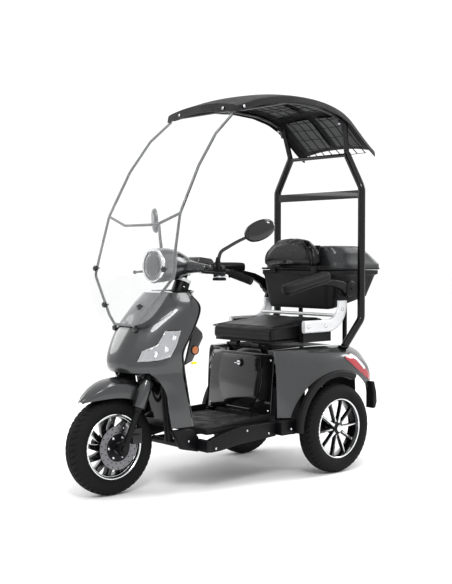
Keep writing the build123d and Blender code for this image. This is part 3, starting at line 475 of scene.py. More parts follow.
# ---------------------------------------------------------------- wheels
def tyre(name, x, y, body):
    """Tyre with curved tread grooves, shoulder blocks and ribbed sidewalls."""
    half = [(0, 204.4), (5, 204.3), (6.5, 204.2), (8.5, 200.6), (10.5, 204), (17, 203.2),
            (24, 201.6), (30, 199), (34, 196.6), (38.5, 191), (42, 184.5), (44.2, 178),
            (45.4, 171), (45.6, 167), (44.8, 165.5), (45.2, 163.5), (44.6, 158), (43, 152),
            (41.5, 150.5), (41, 147), (38, 143), (34, 140), (30, 139.2)]
    profile = [(-a, r) for a, r in reversed(half[1:])] + half
    profile.append(profile[0])
    pitch = 7.5

    def groove(k, i, along):
        angle = 360 * i / 432
        wide = abs(along)
        if wide < 11 or wide > 40:
            return 0
        lean = 0.16 * (wide - 10) + (0 if along > 0 else pitch / 2)
        phase = ((angle + lean) % pitch) / pitch
        depth = 4.6 if wide < 33 else 3.2
        return -depth if phase < 0.2 else 0

    return turned(name, profile, (x, y, AXLE_Z), (1, 0, 0), body, TREAD, segments=432, sharp=32,
                  shape=groove)


def arc_section(inner, outer, low, high, lip=2.0):
    """Closed ring section with eased corners."""
    return [(low, inner), (low, outer - lip), (low + lip, outer), (high - lip, outer),
            (high, outer - lip), (high, inner + lip), (high - lip, inner), (low, inner)]


def bolt_circle(prefix, x, y, radius, count, size, side, body):
    """Screws in a circle about an axle."""
    for i in range(count):
        angle = 2 * pi * i / count
        screw(f"{prefix}_{i + 1}", (x, y + radius * cos(angle), AXLE_Z + radius * sin(angle)),
              (side, 0, 0), body, size)


def spokes(name, x, y, outlines, low, high, body, material, bevel, twist=0.0):
    """One mesh of equal spokes; each outline is a list of (out, across) in the wheel's plane."""
    joined = []
    for i, (angle, outline) in enumerate(outlines):
        points = []
        for depth in (low, high):
            lean = twist if depth == high else 0
            for out, across in outline:
                turn = angle + lean
                spoke = (out * cos(turn) - across * sin(turn), out * sin(turn) + across * cos(turn))
                points.append(place(x + depth, y + spoke[0], AXLE_Z + spoke[1]))
        count = len(outline)
        faces = [tuple(range(count)), tuple(range(2 * count - 1, count - 1, -1))]
        faces += [(k, (k + 1) % count, count + (k + 1) % count, count + k) for k in range(count)]
        joined.append(bevelled(f"{name}_{i + 1}", points, faces, body, material, bevel, 2))
    merge(joined, name)
    return joined[0]


def merge(pieces, name):
    """Joins pieces of one body and one material into the first of them."""
    work = bmesh.new()
    for piece in pieces:
        work.from_mesh(piece.data)
    work.to_mesh(pieces[0].data)
    work.free()
    shade(pieces[0].data, 40)
    drop(*pieces[1:])
    pieces[0].name = name


def front_wheel():
    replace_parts(tyre("front_tyre_skin", 0, FRONT_Y, "front_wheel"), "front_tyre")
    for side in (-1, 1):
        face = side * 30
        low, high = sorted((face, face + side * 5.5))
        turned(f"front_rim_lip_{'left' if side > 0 else 'right'}",
               arc_section(130.5, 138.8, low, high), (0, FRONT_Y, AXLE_Z), (1, 0, 0),
               "front_wheel", MACHINED)
        low, high = sorted((side * 22, side * 25))
        turned(f"front_rim_bead_{'left' if side > 0 else 'right'}",
               arc_section(124, 127.5, low, high, 1), (0, FRONT_Y, AXLE_Z), (1, 0, 0),
               "front_wheel", MACHINED)
    barrel = [(-30, 138), (-30, 129), (-20, 124), (0, 121), (20, 124), (30, 129), (30, 138),
              (-30, 138)]
    rim = turned("front_rim_barrel", barrel, (0, FRONT_Y, AXLE_Z), (1, 0, 0), "front_wheel", GLOSS)
    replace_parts(rim, "front_rim")
    blade = [(22, -13), (48, -12), (80, -16), (104, -23), (123, -31), (125, -14), (104, -3),
             (78, 8), (48, 12), (22, 11)]
    outlines = [(2 * pi * i / 12, blade) for i in range(12)]
    spokes("front_rim_blades", 0, FRONT_Y, outlines, -15, 17, "front_wheel", GLOSS, 2.5, 0.05)
    hub = [(-34, 10), (-34, 24), (-30, 29), (-16, 31), (16, 31), (30, 29), (36, 24), (36, 10),
           (-34, 10)]
    turned("front_hub", hub, (0, FRONT_Y, AXLE_Z), (1, 0, 0), "front_wheel", SATIN)
    bolt_circle("disc_bolt", 58.6, FRONT_Y, 46, 6, 6.5, 1, "front_wheel")
    carrier = [(52, 24), (52, 52), (54, 57.5), (58.7, 57.6), (58.7, 40), (58.7, 24), (52, 24)]
    turned("disc_carrier", carrier, (0, FRONT_Y, AXLE_Z), (1, 0, 0), "front_wheel", SATIN)
    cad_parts["front_disc"].data.materials[0] = DISC


def rear_wheel(side):
    label = "left" if side > 0 else "right"
    x, body = side * TRACK, f"wheel_{label}"
    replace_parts(tyre(f"rear_tyre_skin_{label}", x, REAR_Y, body), f"rear_tyre_{label}")
    low, high = sorted((side * 30, side * 36))
    turned(f"rear_rim_lip_{label}", arc_section(131, 138.8, low, high), (x, REAR_Y, AXLE_Z),
           (1, 0, 0), body, MACHINED)
    barrel = [(-30, 138), (-30, 131), (-14, 126), (6, 122), (20, 125), (30, 131), (30, 138),
              (-30, 138)]
    barrel = [(side * a, r) for a, r in barrel]
    rim = turned(f"rear_rim_barrel_{label}", barrel, (x, REAR_Y, AXLE_Z), (1, 0, 0), body, GLOSS)
    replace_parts(rim, f"rear_rim_{label}")
    spoke = [(24, -9), (60, -7), (110, -6), (128, -9), (128, 9), (110, 6), (60, 7), (24, 9)]
    outlines = [(radians(36 * i + 4), spoke) for i in range(10)]
    low, high = sorted((side * 4, side * 22))
    spokes(f"rear_spokes_{label}", x, REAR_Y, outlines, low, high, body, GLOSS, 2.5)
    arm = [(12, -9), (40, -6.5), (90, -3), (132, -2), (132, 2), (90, 3), (40, 6.5), (12, 9)]
    outlines = [(radians(72 * i + 4), arm) for i in range(5)]
    low, high = sorted((side * 20, side * 25))
    spokes(f"rear_star_{label}", x, REAR_Y, outlines, low, high, body, MACHINED, 1.2)
    fins = [(34, -3), (84, -1.6), (84, 1.6), (34, 3)]
    outlines = [(radians(72 * i + 40), fins) for i in range(5)]
    spokes(f"rear_fins_{label}", x, REAR_Y, outlines, low, high, body, MACHINED, 0.8)
    hub = [(-side * 34, 13), (-side * 34, 26), (-side * 20, 30), (side * 20, 30),
           (side * 27, 25), (side * 30, 20), (side * 34, 17), (side * 36, 12),
           (side * 36, 0.01), (side * 26, 0.01), (side * 26, 13), (-side * 34, 13)]
    turned(f"rear_hub_{label}", hub, (x, REAR_Y, AXLE_Z), (1, 0, 0), body, SATIN)
    cap = [(side * 30, 17), (side * 35, 16), (side * 36, 12), (side * 36.5, 0.01)]
    turned(f"rear_cap_{label}", cap, (x, REAR_Y, AXLE_Z), (1, 0, 0), body, MACHINED)


# ---------------------------------------------------------------- fairing and leg shield
NOSE = [
    (276, [(0, -330), (90, -320), (162, -288), (174, -286), (181, -250), (186, -184)]),
    (340, [(0, -350), (90, -340), (160, -302), (172, -298), (180, -258), (184, -195)]),
    (420, [(0, -376), (90, -362), (155, -320), (166, -307), (174, -270), (180, -212)]),
    (480, [(0, -425), (75, -415), (138, -366), (154, -341), (168, -298), (176, -224)]),
    (512, [(0, -452), (50, -444), (98, -418), (135, -374), (160, -318), (172, -227)]),
    (540, [(0, -464), (52, -456), (102, -424), (140, -378), (164, -322), (177, -232)]),
    (600, [(0, -452), (55, -444), (108, -406), (146, -352), (170, -292), (184, -238)]),
    (690, [(0, -404), (58, -398), (112, -361), (152, -302), (177, -236), (187, -185)]),
    (780, [(0, -332), (58, -324), (108, -290), (150, -248), (177, -200), (188, -152)]),
    (842, [(0, -268), (48, -262), (86, -240), (112, -218), (126, -192), (134, -162)]),
]
SHIELD = [
    (276, [(0, -150), (60, -152), (120, -164), (182, -174)]),
    (420, [(0, -136), (60, -140), (120, -176), (178, -200)]),
    (540, [(0, -122), (60, -130), (120, -180), (176, -220)]),
    (600, [(0, -110), (60, -120), (120, -170), (183, -226)]),
    (690, [(0, -90), (55, -100), (115, -142), (186, -173)]),
    (780, [(0, -68), (52, -80), (110, -120), (187, -140)]),
    (836, [(0, -58), (48, -66), (90, -104), (135, -150)]),
]
LAMP_SIDE = [(-398, 604), (-342, 630), (-305, 686), (-240, 686), (-262, 628), (-292, 577),
             (-340, 565), (-418, 560)]
NOSE_ACROSS = 6
NOSE_ALONG = 7
NOSE_GRID = dense([[(x, y, z) for x, y in mirror_x(half)] for z, half in NOSE],
                  NOSE_ACROSS, NOSE_ALONG)


def blend_step(value, low, high):
    """Smooth rise from 0 to 1 between two values."""
    t = min(1, max(0, (value - low) / (high - low)))
    return t * t * (3 - 2 * t)


def creased_nose():
    """The fairing grid with a raised centre panel and sunken lower cheeks."""
    grid = []
    for row in NOSE_GRID:
        made = []
        for p in row:
            x, y, z = p
            edge = 44 + 52 * blend_step(-z, -840, -640) - 40 * blend_step(-z, -620, -520)
            lift = 3.2 * (1 - blend_step(abs(x), edge - 4, edge + 4)) * blend_step(z, 520, 560)
            hollow = 2.6 * blend_step(-z, -540, -500) * blend_step(abs(x), 152, 164)
            made.append((x - hollow * (1 if x > 0 else -1), y - lift, z))
        grid.append(made)
    return grid


def fairing_side(y, z):
    """Crosswise place of the fairing's left face at a (y, z) place."""
    rows = NOSE_GRID
    below = max(i for i, row in enumerate(rows) if row[0].z <= z or i == 0)
    below = min(below, len(rows) - 2)
    share = (z - rows[below][0].z) / (rows[below + 1][0].z - rows[below][0].z)
    line = [a.lerp(b, share) for a, b in zip(rows[below], rows[below + 1])]
    line = line[len(line) // 2:]
    for a, b in zip(line, line[1:]):
        if a.y <= y <= b.y:
            return a.x + (b.x - a.x) * (y - a.y) / (b.y - a.y)
    return line[-1].x


def fan_patch(name, outline, height, lift, body, material, rings=7, steps=10, sharp=40,
              thick=2.0, round_off=0.0):
    """Patch with a (y, z) outline laid on a surface x = height(y, z), lifted off it."""
    corners = [Vector((0, y, z)) for y, z in outline]
    edge = []
    for a, b in zip(corners, corners[1:] + corners[:1]):
        edge += [a.lerp(b, k / steps) for k in range(steps)]
    middle = sum(edge, Vector()) / len(edge)
    if round_off:
        smooth = []
        for i, p in enumerate(edge):
            near = sum((edge[(i + k) % len(edge)] for k in range(-2, 3)), Vector()) / 5
            smooth.append(p.lerp(near, round_off))
        edge = smooth
    points, count = [], len(edge)
    for side in (1, -1):
        for r in range(rings):
            share = 1 - r / rings
            dome = lift * (1 if r else 0.2)
            for p in edge:
                q = middle.lerp(p, share)
                points.append(place(side * (height(q.y, q.z) + dome), q.y, q.z))
        points.append(place(side * (height(middle.y, middle.z) + lift), middle.y, middle.z))
    faces, whole = [], rings * count + 1
    for s in (0, 1):
        base = s * whole
        for r in range(rings - 1):
            for c in range(count):
                d = (c + 1) % count
                faces.append((base + r * count + c, base + r * count + d,
                              base + (r + 1) * count + d, base + (r + 1) * count + c))
        last = base + (rings - 1) * count
        faces += [(last + c, last + (c + 1) % count, base + whole - 1) for c in range(count)]
    piece = add(name, points, faces, body, material, sharp)
    half = len(faces) // 2
    for i, polygon in enumerate(piece.data.polygons):
        out = 1 if i < half else -1
        if polygon.normal.x * out < 0:
            polygon.flip()
    solid = piece.modifiers.new("thickness", "SOLIDIFY")
    solid.thickness = thick / 1000
    solid.offset = -1
    return settle(piece, sharp)


def fairing():
    split = NOSE_ALONG * 4
    centre = 3 * NOSE_ACROSS
    middle = 5 * NOSE_ACROSS

    def shown(r, c):
        return r >= split or abs(c + 0.5 - middle) > centre

    skin = cover("fairing_skin", creased_nose(), "chassis", PAINT, (0, -230, 620), keep=shown)
    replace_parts(skin, "fairing")
    top = NOSE_GRID[-1]
    back = [(p.x, max(p.y + 14, -162), 842.0) for p in top]
    rows = []
    for k in range(6):
        t = k / 5
        rows.append([(a.x * (1 - 0.06 * t), a.y + (b[1] - a.y) * t, 842 + 3.0 * sin(pi * t / 2))
                     for a, b in zip(top, back)])
    cover("fairing_top", rows, "chassis", PAINT, (0, -230, 700), thick=3)
    inner = fan_patch("front_lamp_reflector", LAMP_SIDE, fairing_side, 1.0, "chassis", LAMP_BACK,
                      thick=1.5)
    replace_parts(inner, "marker_lamps")
    fan_patch("front_lamp_cover", LAMP_SIDE, fairing_side, 3.6, "chassis", LAMP_COVER, thick=1.6,
              round_off=0.8)
    centre_y = sum(y for y, z in LAMP_SIDE) / len(LAMP_SIDE)
    centre_z = sum(z for y, z in LAMP_SIDE) / len(LAMP_SIDE)
    edge = [(centre_y + (y - centre_y) * 1.05, centre_z + (z - centre_z) * 1.06)
            for y, z in LAMP_SIDE]
    fan_patch("front_lamp_gasket", edge, fairing_side, 0.5, "chassis", GLOSS, thick=1.2,
              round_off=0.8)
    for side in (1, -1):
        for i, (y, z, size) in enumerate(((-352, 592, 12), (-312, 610, 13), (-276, 656, 12))):
            x = side * (fairing_side(y, z) + 0.8)
            bowl = [(0, size), (1.2, size * 0.9), (0.4, size * 0.5), (1.6, size * 0.3), (1.8, 0.01)]
            turned(f"lamp_bowl_{'left' if side > 0 else 'right'}_{i + 1}", bowl, (x, y, z),
                   (side, -0.7, 0.2), "chassis", CHROME, segments=32)


def leg_shield():
    grid = dense([[(x, y, z) for x, y in mirror_x(half)] for z, half in SHIELD], 6, 6)
    skin = cover("leg_shield_skin", grid, "chassis", GLOSS, (0, -300, 560))
    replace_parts(skin, "leg_shield")
    rim = [(-133, -156, 842), (-112, -128, 843), (-88, -102, 844), (-48, -72, 845), (0, -63, 845),
           (48, -72, 845), (88, -102, 844), (112, -128, 843), (133, -156, 842)]
    pipe("leg_shield_lip", rim, 5, "chassis", GLOSS)
    pod = [(-172, 700), (-160, 703), (-125, 672), (-122, 650), (-180, 554), (-222, 538)]
    for side, label in SIDES:
        low, high = sorted((side * 168, side * 181))
        plate(f"shield_pod_{label}", pod, low, high, "chassis", GLOSS, 4)
        lens = [(0, 17), (4, 16.5), (6, 13), (6.4, 8), (6.6, 0.01)]
        turned(f"side_reflector_{label}", lens, (side * 180, -168, 600), (side, 0, 0), "chassis",
               AMBER, segments=48)
        bezel = [(0, 21), (4, 20.5), (5.5, 18.5), (4, 17), (0, 17)]
        turned(f"reflector_bezel_{label}", bezel, (side * 180, -168, 600), (side, 0, 0),
               "chassis", SATIN, segments=48)
        block(f"seal_tag_{label}", sorted((side * 176, side * 186)), (-186, -160), (540, 551),
              "chassis", YELLOW, 3)


# ---------------------------------------------------------------- floor and rear body
FLOOR_Z = 262


def floor_pieces():
    tray = block("floor_tray", (-226, 226), (-140, 240), (FLOOR_Z - 24, FLOOR_Z), "chassis", GRAIN,
                 4, slot="trim_black")
    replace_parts(tray, "footboard")
    for side in (1, -1):
        low, high = sorted((side * 214, side * 226))
        curb = [(-140, FLOOR_Z), (232, FLOOR_Z), (232, 292), (120, 288), (-60, 270)]
        plate(f"floor_curb_{'left' if side > 0 else 'right'}", curb, low, high, "chassis", GRAIN, 3)
    mat = block("floor_mat_sheet", (-200, 200), (-132, 226), (FLOOR_Z + 0.2, FLOOR_Z + 3),
                "chassis", MAT, 1.2, slot="mat_rubber")
    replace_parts(mat, "floor_mat")
    ovals = []
    for row in range(4):
        for column in range(3):
            centre = (-130 + column * 130, -88 + row * 90)
            for k, (wide, deep) in enumerate(((50, 32), (38, 21), (24, 11))):
                ovals.append(oval_rib(f"mat_oval_{row}_{column}_{k}", centre, wide, deep))
    merge(ovals, "mat_ovals")


def oval_rib(name, centre, wide, deep):
    points, steps = [], 40
    for offset, height in ((-2.4, 0), (-1.2, 1.8), (1.2, 1.8), (2.4, 0)):
        for i in range(steps):
            angle = 2 * pi * i / steps
            points.append(place(centre[0] + (wide + offset) * cos(angle),
                                centre[1] + (deep + offset) * sin(angle), FLOOR_Z + 3 + height))
    return add(name, points, grid_faces(4, steps, around=True), "chassis", MAT)


def trims():
    shoe = [(-292, 270), (-184, 264), (-152, 226), (-152, 164), (-242, 184)]
    sill = [(-148, 168), (-148, 222), (-96, 236), (30, 262), (238, 262), (238, 196), (30, 186),
            (-90, 170)]
    tail = [(238, 262), (330, 268), (330, 200), (238, 200)]
    made = []
    for side, label in SIDES:
        parts = ((f"shoe_{label}", shoe, 158, 190, 6), (f"sill_{label}", sill, 230, 262, 7),
                 (f"sill_tail_{label}", tail, 240, 296, 7))
        for name, outline, near, far, round_by in parts:
            low, high = sorted((side * near, side * far))
            made.append(plate(name, outline, low, high, "chassis", SATIN, round_by, steps=4,
                              slot="cover_black"))
        low, high = sorted((side * 180, side * 261))
        made.append(block(f"sill_joint_{label}", (low, high), (-166, -140), (170, 220), "chassis",
                          SATIN, 5))
        for i, (x, y, z) in enumerate(((262, -120, 184), (262, 190, 214), (262, 60, 240))):
            screw(f"sill_screw_{label}_{i + 1}", (side * x, y, z), (side, 0, 0), "chassis", 5.5)
        screw(f"tail_screw_{label}", (side * 296, 296, 226), (side, 0, 0), "chassis", 6)
        screw(f"shoe_screw_{label}", (side * 190, -210, 216), (side, 0, 0), "chassis", 5)
    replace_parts(made[0], "side_trims")


SIDE = [
    (262, [(185, 572), (220, 568), (231, 500), (237, 400), (241, 272)]),
    (320, [(188, 574), (232, 570), (257, 505), (275, 410), (285, 272)]),
    (400, [(190, 576), (240, 573), (281, 520), (309, 430), (323, 272)]),
    (500, [(190, 578), (246, 577), (299, 545), (331, 480), (341, 272)]),
    (620, [(190, 578), (250, 577), (307, 553), (337, 492), (343, 272)]),
    (720, [(190, 572), (248, 570), (301, 536), (331, 476), (337, 272)]),
    (800, [(190, 548), (240, 544), (285, 505), (315, 450), (321, 300)]),
    (842, [(190, 490), (225, 486), (263, 460), (289, 420), (295, 340)]),
]
TAIL_LAMP_SIDE = [(608, 530), (681, 546), (806, 436), (800, 404), (690, 470)]
ARCH_Y, ARCH_RADIUS = 570, 268.5
SIDE_GRID = dense([[(x, y, z) for x, z in outline] for y, outline in SIDE], 8, 8)


def side_face(y, z):
    """Crosswise place of the left cover's outer face at a (y, z) place."""
    rows = SIDE_GRID
    below = 0
    while below < len(rows) - 2 and rows[below + 1][0].y < y:
        below += 1
    share = (y - rows[below][0].y) / (rows[below + 1][0].y - rows[below][0].y)
    line = [a.lerp(b, min(1, max(0, share))) for a, b in zip(rows[below], rows[below + 1])]
    for a, b in zip(line, line[1:]):
        if a.z >= z >= b.z:
            return a.x + (b.x - a.x) * (z - a.z) / (b.z - a.z)
    return line[-1].x


def wheel_cylinder(name, radius, low, high, segments=96):
    points = []
    for x in (low, high):
        for i in range(segments):
            angle = 2 * pi * i / segments
            points.append(place(x, ARCH_Y + radius * cos(angle), AXLE_Z + radius * sin(angle)))
    faces = grid_faces(2, segments, around=True)
    faces += [tuple(range(segments)), tuple(range(segments, 2 * segments))]
    return cutter_of(name, points, faces)


def rear_covers():
    for side, label in SIDES:
        grid = []
        for row in SIDE_GRID:
            made = []
            for x, y, z in row:
                groove = blend_step(-abs(z - (566 - (y - 262) * 0.02)), -5, -1) * 1.6
                made.append((side * (x - groove * 0.5), y, z - groove))
            grid.append(made)
        low, high = sorted((side * 190, side * 420))
        arch = wheel_cylinder("arch_cutter", ARCH_RADIUS, low, high)
        corner = cutter_of("tail_cutter", *prism([(780, 260), (900, 260), (900, 406), (780, 406)],
                                                 *sorted((side * 288, side * 420))))
        skin = cover(f"rear_cover_skin_{label}", grid, "chassis", PAINT, (0, 500, 380),
                     cut=(arch, corner))
        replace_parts(skin, f"rear_cover_{label}")
        drop(arch, corner)
        section = [(-14, -17), (-14, 12), (-11, 14), (11, 14), (15, 11), (17, 4), (16, -6),
                   (12, -14), (6, -17)]
        points = []
        for k in range(73):
            angle = radians(1 + k * (113.5 / 72))
            for across, out in section:
                radius = 253 + out
                points.append(place(side * (329 + across), ARCH_Y - radius * cos(angle),
                                    AXLE_Z + radius * sin(angle)))
        count = len(section)
        faces = grid_faces(73, count, around=True)
        faces += [tuple(range(count)), tuple(range(72 * count, 73 * count))]
        lip = add(f"fender_lip_{label}", points, faces, "chassis", GRAIN, 50)
        face_out(lip.data, place(side * 329, ARCH_Y, AXLE_Z))
        shade(lip.data, 50)
        if side > 0:
            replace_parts(lip, "fender_lips")
        tail = [(806, 272), (822, 276), (832, 304), (828, 350), (812, 404), (796, 398), (806, 350)]
        low, high = sorted((side * 292, side * 342))
        plate(f"fender_tail_{label}", tail, low, high, "chassis", GRAIN, 5, steps=4)
    lamp = fan_patch("tail_lamp_red", TAIL_LAMP_SIDE, side_face, 4.0, "chassis", RED, rings=8,
                     round_off=0.8)
    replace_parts(lamp, "tail_lamps")
    clear = [(640, 536), (681, 544), (770, 468), (752, 458), (676, 524)]
    fan_patch("tail_lamp_clear", clear, side_face, 5.6, "chassis", WHITE_LENS, thick=1.2,
              round_off=0.8)
    edge = [(600, 530), (682, 553), (813, 438), (804, 398), (688, 462)]
    fan_patch("tail_lamp_gasket", edge, side_face, 0.8, "chassis", GLOSS, thick=1.2,
              round_off=0.8)


def rear_middle():
    line = [(330, 569), (520, 569), (716, 569), (770, 562), (812, 538), (838, 496), (850, 420),
            (855, 340)]
    rows = []
    for p in spline([(0, y, z) for y, z in line], 6):
        rows.append([(x, p.y, p.z - 2.5 * (abs(x) / 182) ** 6) for x in
                     (-184, -178, -150, -100, -50, 0, 50, 100, 150, 178, 184)])
    deck = cover("rear_deck_skin", rows, "chassis", GRAIN, (0, 600, 400), thick=4)
    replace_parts(deck, "rear_deck")
    panel = [(-214, 280), (214, 280), (214, 543), (196, 556), (-196, 556), (-214, 543)]
    slope = atan2(22, 265)

    def on_panel(x, up, lift):
        """A place on the sloping front panel, lifted off it."""
        return place(x, 244 + up * sin(slope) - lift * cos(slope),
                     280 + up * cos(slope) + lift * sin(slope))

    def panel_piece(name, outline, low, high, material, bevel, **more):
        points = [on_panel(x, z - 280, lift) for lift in (low, high) for x, z in outline]
        return bevelled(name, points, prism_faces(len(outline)), "chassis", material, bevel, 3,
                        **more)

    base = panel_piece("seat_base_skin", panel, -6, 0, PAINT_DARK, 2.5, slot="cover_black")
    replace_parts(base, "seat_base_panel")
    shield = [(-92, 306), (92, 306), (136, 372), (150, 436), (130, 540), (-130, 540), (-150, 436),
              (-136, 372)]
    panel_piece("seat_base_shield", shield, 0, 3.6, PAINT_DARK, 2.4)
    field = [(-78, 318), (78, 318), (120, 378), (134, 436), (116, 530), (-116, 530), (-134, 436),
             (-120, 378)]
    panel_piece("seat_base_field", field, 3.6, 4.6, GLOSS, 0.8)
    notch = [(-60, 282), (60, 282), (84, 300), (-84, 300)]
    panel_piece("seat_base_foot", notch, 0, 3.0, GLOSS, 1.5)
    bezel = [(0, 20), (3, 19), (4, 16), (2, 12), (0, 12)]
    turned("lock_bezel", bezel, (0, 257.5, 505), (0, -cos(slope), sin(slope)), "chassis", SATIN,
           segments=48)
    for side in (1, -1):
        for i, (x, z) in enumerate(((198, 300), (198, 528))):
            spot = on_panel(side * x, z - 280, 0)
            screw(f"panel_screw_{side}_{i}".replace("-", "m"),
                  (spot.x * 1000, spot.y * 1000 + MIDDLE_Y, spot.z * 1000),
                  (0, -cos(slope), sin(slope)), "chassis", 5)


# ---------------------------------------------------------------- roof and windshield
ROOF_LINE = [(20, 1648), (80, 1668), (160, 1692), (300, 1716), (430, 1722), (560, 1714),
             (670, 1690), (745, 1655), (815, 1600), (880, 1548), (928, 1515)]


def roof_height(y):
    for (y0, z0), (y1, z1) in zip(ROOF_LINE, ROOF_LINE[1:]):
        if y0 <= y <= y1:
            return z0 + (z1 - z0) * (y - y0) / (y1 - y0)
    return ROOF_LINE[-1][1]


def roof():
    rows = []
    for y, z in ROOF_LINE:
        half = [(0, z + 24), (110, z + 20), (190, z + 9), (226, z + 1), (237, z - 8), (240, z - 30)]
        rows.append([(x, y, up) for x, up in mirror_x(half)])
    grid = dense(rows, 5, 5)
    shell = cover("roof_skin", grid, "chassis", GRAIN, (0, 450, 1500), thick=4)
    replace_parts(shell, "roof_shell")
    front = [(0, 1671), (110, 1667), (190, 1656), (228, 1648), (238, 1638), (240, 1618)]
    low = [(0, 1636), (110, 1632), (190, 1624), (228, 1619), (238, 1618), (240, 1617)]
    outline = [[(x, 20, z) for x, z in mirror_x(front)], [(x, 17.5, z) for x, z in mirror_x(low)]]
    rows = [spline(r, 5) for r in outline]
    cover("roof_fascia", [[tuple(a.lerp(b, k / 4)) for a, b in zip(*rows)] for k in range(5)],
          "chassis", GRAIN, (0, 300, 1600), thick=4)
    for side, label in SIDES:
        bead = [(side * 240, y, roof_height(y) - 29) for y in range(22, 928, 30)]
        pipe(f"roof_edge_{label}", bead, 3.6, "chassis", SATIN, sides=10, smooth=2)
        screw(f"fascia_screw_{label}", (side * 150, 17, 1642), (0, -1, 0), "chassis", 7)
        screw(f"roof_screw_{label}", (side * 240, 60, 1645), (side, 0, 0), "chassis", 7)
        for i, y in enumerate((706, 742)):
            screw(f"clamp_screw_{label}_{i + 1}", (side * 205, y, roof_height(y) - 44),
                  (side * 0.3, 0, -1), "chassis", 7)
    lining_rows = []
    for y in (410, 460, 520, 580, 640, 700, 760, 820, 880, 912):
        z = roof_height(y) + 2
        lining_rows.append([(x, y, z + 8 * (1 - (x / 180) ** 2)) for x in
                            (-182, -150, -100, -50, 0, 50, 100, 150, 182)])
    panels = ((0, 5, -182, -6), (0, 5, 6, 182), (5, 9, -182, -6), (5, 9, 6, 182))
    fine = dense(lining_rows, 2, 2)
    for i, (start, end, x_low, x_high) in enumerate(panels):
        rows = [[p for p in row if x_low - 1 <= p.x <= x_high + 1] for row in
                fine[start * 2 + 1:end * 2]]
        cover(f"roof_lining_{i + 1}", rows, "chassis", LINING, (0, 600, 2500), thick=2)
    strands = []
    for i, y in enumerate([400 + i * 52 for i in range(11)]):
        z = min(roof_height(y), 1722) - 14.5
        line = [(x, y + 1.5 * sin(x / 21 + i), z - 1.6 * sin((x + 190) / 380 * pi) ** 2)
                for x in range(-190, 191, 20)]
        strands.append(strap(f"net_cross_{i}", line, (0, 1, 0), 6))
    for i, x in enumerate((-184, -132, -79, -26, 26, 79, 132, 184)):
        line = [(x + 1.5 * sin(y / 23 + i), y, roof_height(y) - 15.5) for y in range(394, 925, 15)]
        strands.append(strap(f"net_long_{i}", line, (1, 0, 0), 6))
    merge(strands, "roof_net_straps")
    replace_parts(strands[0], "roof_net")


def strap(name, line, across, width):
    """Thin flat strap along a line."""
    points = []
    side = Vector(across)
    for p in line:
        for a, b in ((-1, -0.8), (-0.8, 0.9), (0.8, 0.9), (1, -0.8)):
            q = Vector(p) + side * a * width / 2
            points.append(place(q.x, q.y, q.z + b * 1.2))
    faces = grid_faces(len(line), 4, around=True)
    count = len(line)
    faces += [(0, 1, 2, 3), tuple(range(4 * count - 4, 4 * count))]
    return add(name, points, faces, "chassis", NET, 60)


SHEET = [(704, 72, -414), (735, 165, -407), (795, 236, -399), (900, 298, -376), (1040, 294, -350),
         (1174, 280, -322), (1270, 273, -274), (1376, 268, -214), (1518, 256, -109),
         (1606, 246, -12)]
SHEET_BOW = 26.0
KNOBS = ((243, -358, 945), (125, -391, 790), (72, -391, 693))


def windshield():
    rows = []
    for z, half_width, y in SHEET:
        sag = SHEET_BOW * (half_width / 298) ** 2
        bow = [(half_width * f, y - sag * (1 - f * f), z) for f in (0, 0.25, 0.5, 0.75, 1)]
        rows.append(mirror_x(bow))
    grid = dense(rows, 4, 6)
    sheet = cover("windshield_sheet", grid, "chassis", SHEET_MATERIAL, (0, 200, 1100), thick=3.5)
    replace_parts(sheet, "windshield")
    knobs = []
    for i, (x, y, z) in enumerate(KNOBS):
        for side in (1, -1):
            row = min(grid, key=lambda r: abs(r[0].z - z))
            near = min(row, key=lambda p: abs(p.x - side * x))
            front = near.y - 3 if z > 700 else y - 6
            profile = [(min(-1, front - y + 6), 3.6), (2, 3.6), (2, 11), (3, 12.5), (8, 13),
                       (12, 11), (13.5, 7), (13.8, 0.01)]
            label = "left" if side > 0 else "right"
            knobs.append(turned(f"knob_{label}_{i + 1}", profile, (side * x, front, z),
                                (0, -1, 0), "chassis", GLOSS, segments=32))
    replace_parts(knobs[0], "windshield_knobs")


# ---------------------------------------------------------------- trunk
def rounded_ring(z, half_width, y_low, y_high, radius, steps=8):
    """Level outline of a rounded rectangle, from the front left corner round."""
    ring = []
    out = half_width - radius
    corners = ((out, y_high - radius, 0), (-out, y_high - radius, 90),
               (-out, y_low + radius, 180), (out, y_low + radius, 270))
    for x, y, start in corners:
        for k in range(steps + 1):
            angle = radians(start + 90 * k / steps)
            ring.append((x + radius * cos(angle), y + radius * sin(angle), z))
    return ring


def closed_rings(name, rings, body, material, sharp=35, caps=(True, True), ribs=None):
    rows = []
    for ring in rings:
        row = []
        for a, b in zip(ring, ring[1:] + ring[:1]):
            length = hypot(b[0] - a[0], b[1] - a[1])
            parts = max(1, round(length / 7)) if length > 25 else 1
            row += [tuple(Vector(a).lerp(Vector(b), k / parts)) for k in range(parts)]
        rows.append(row)
    count = 240
    rows = [resample(r, count) for r in rows]
    if ribs:
        rows = [[ribs(p) for p in row] for row in rows]
    points = [place(*p) for row in rows for p in row]
    faces = grid_faces(len(rows), count, around=True)
    if caps[0]:
        faces.append(tuple(reversed(range(count))))
    if caps[1]:
        faces.append(tuple(range((len(rows) - 1) * count, len(rows) * count)))
    piece = add(name, points, faces, body, material, sharp)
    middle = sum(points, Vector()) / len(points)
    face_out(piece.data, middle)
    shade(piece.data, sharp)
    return piece


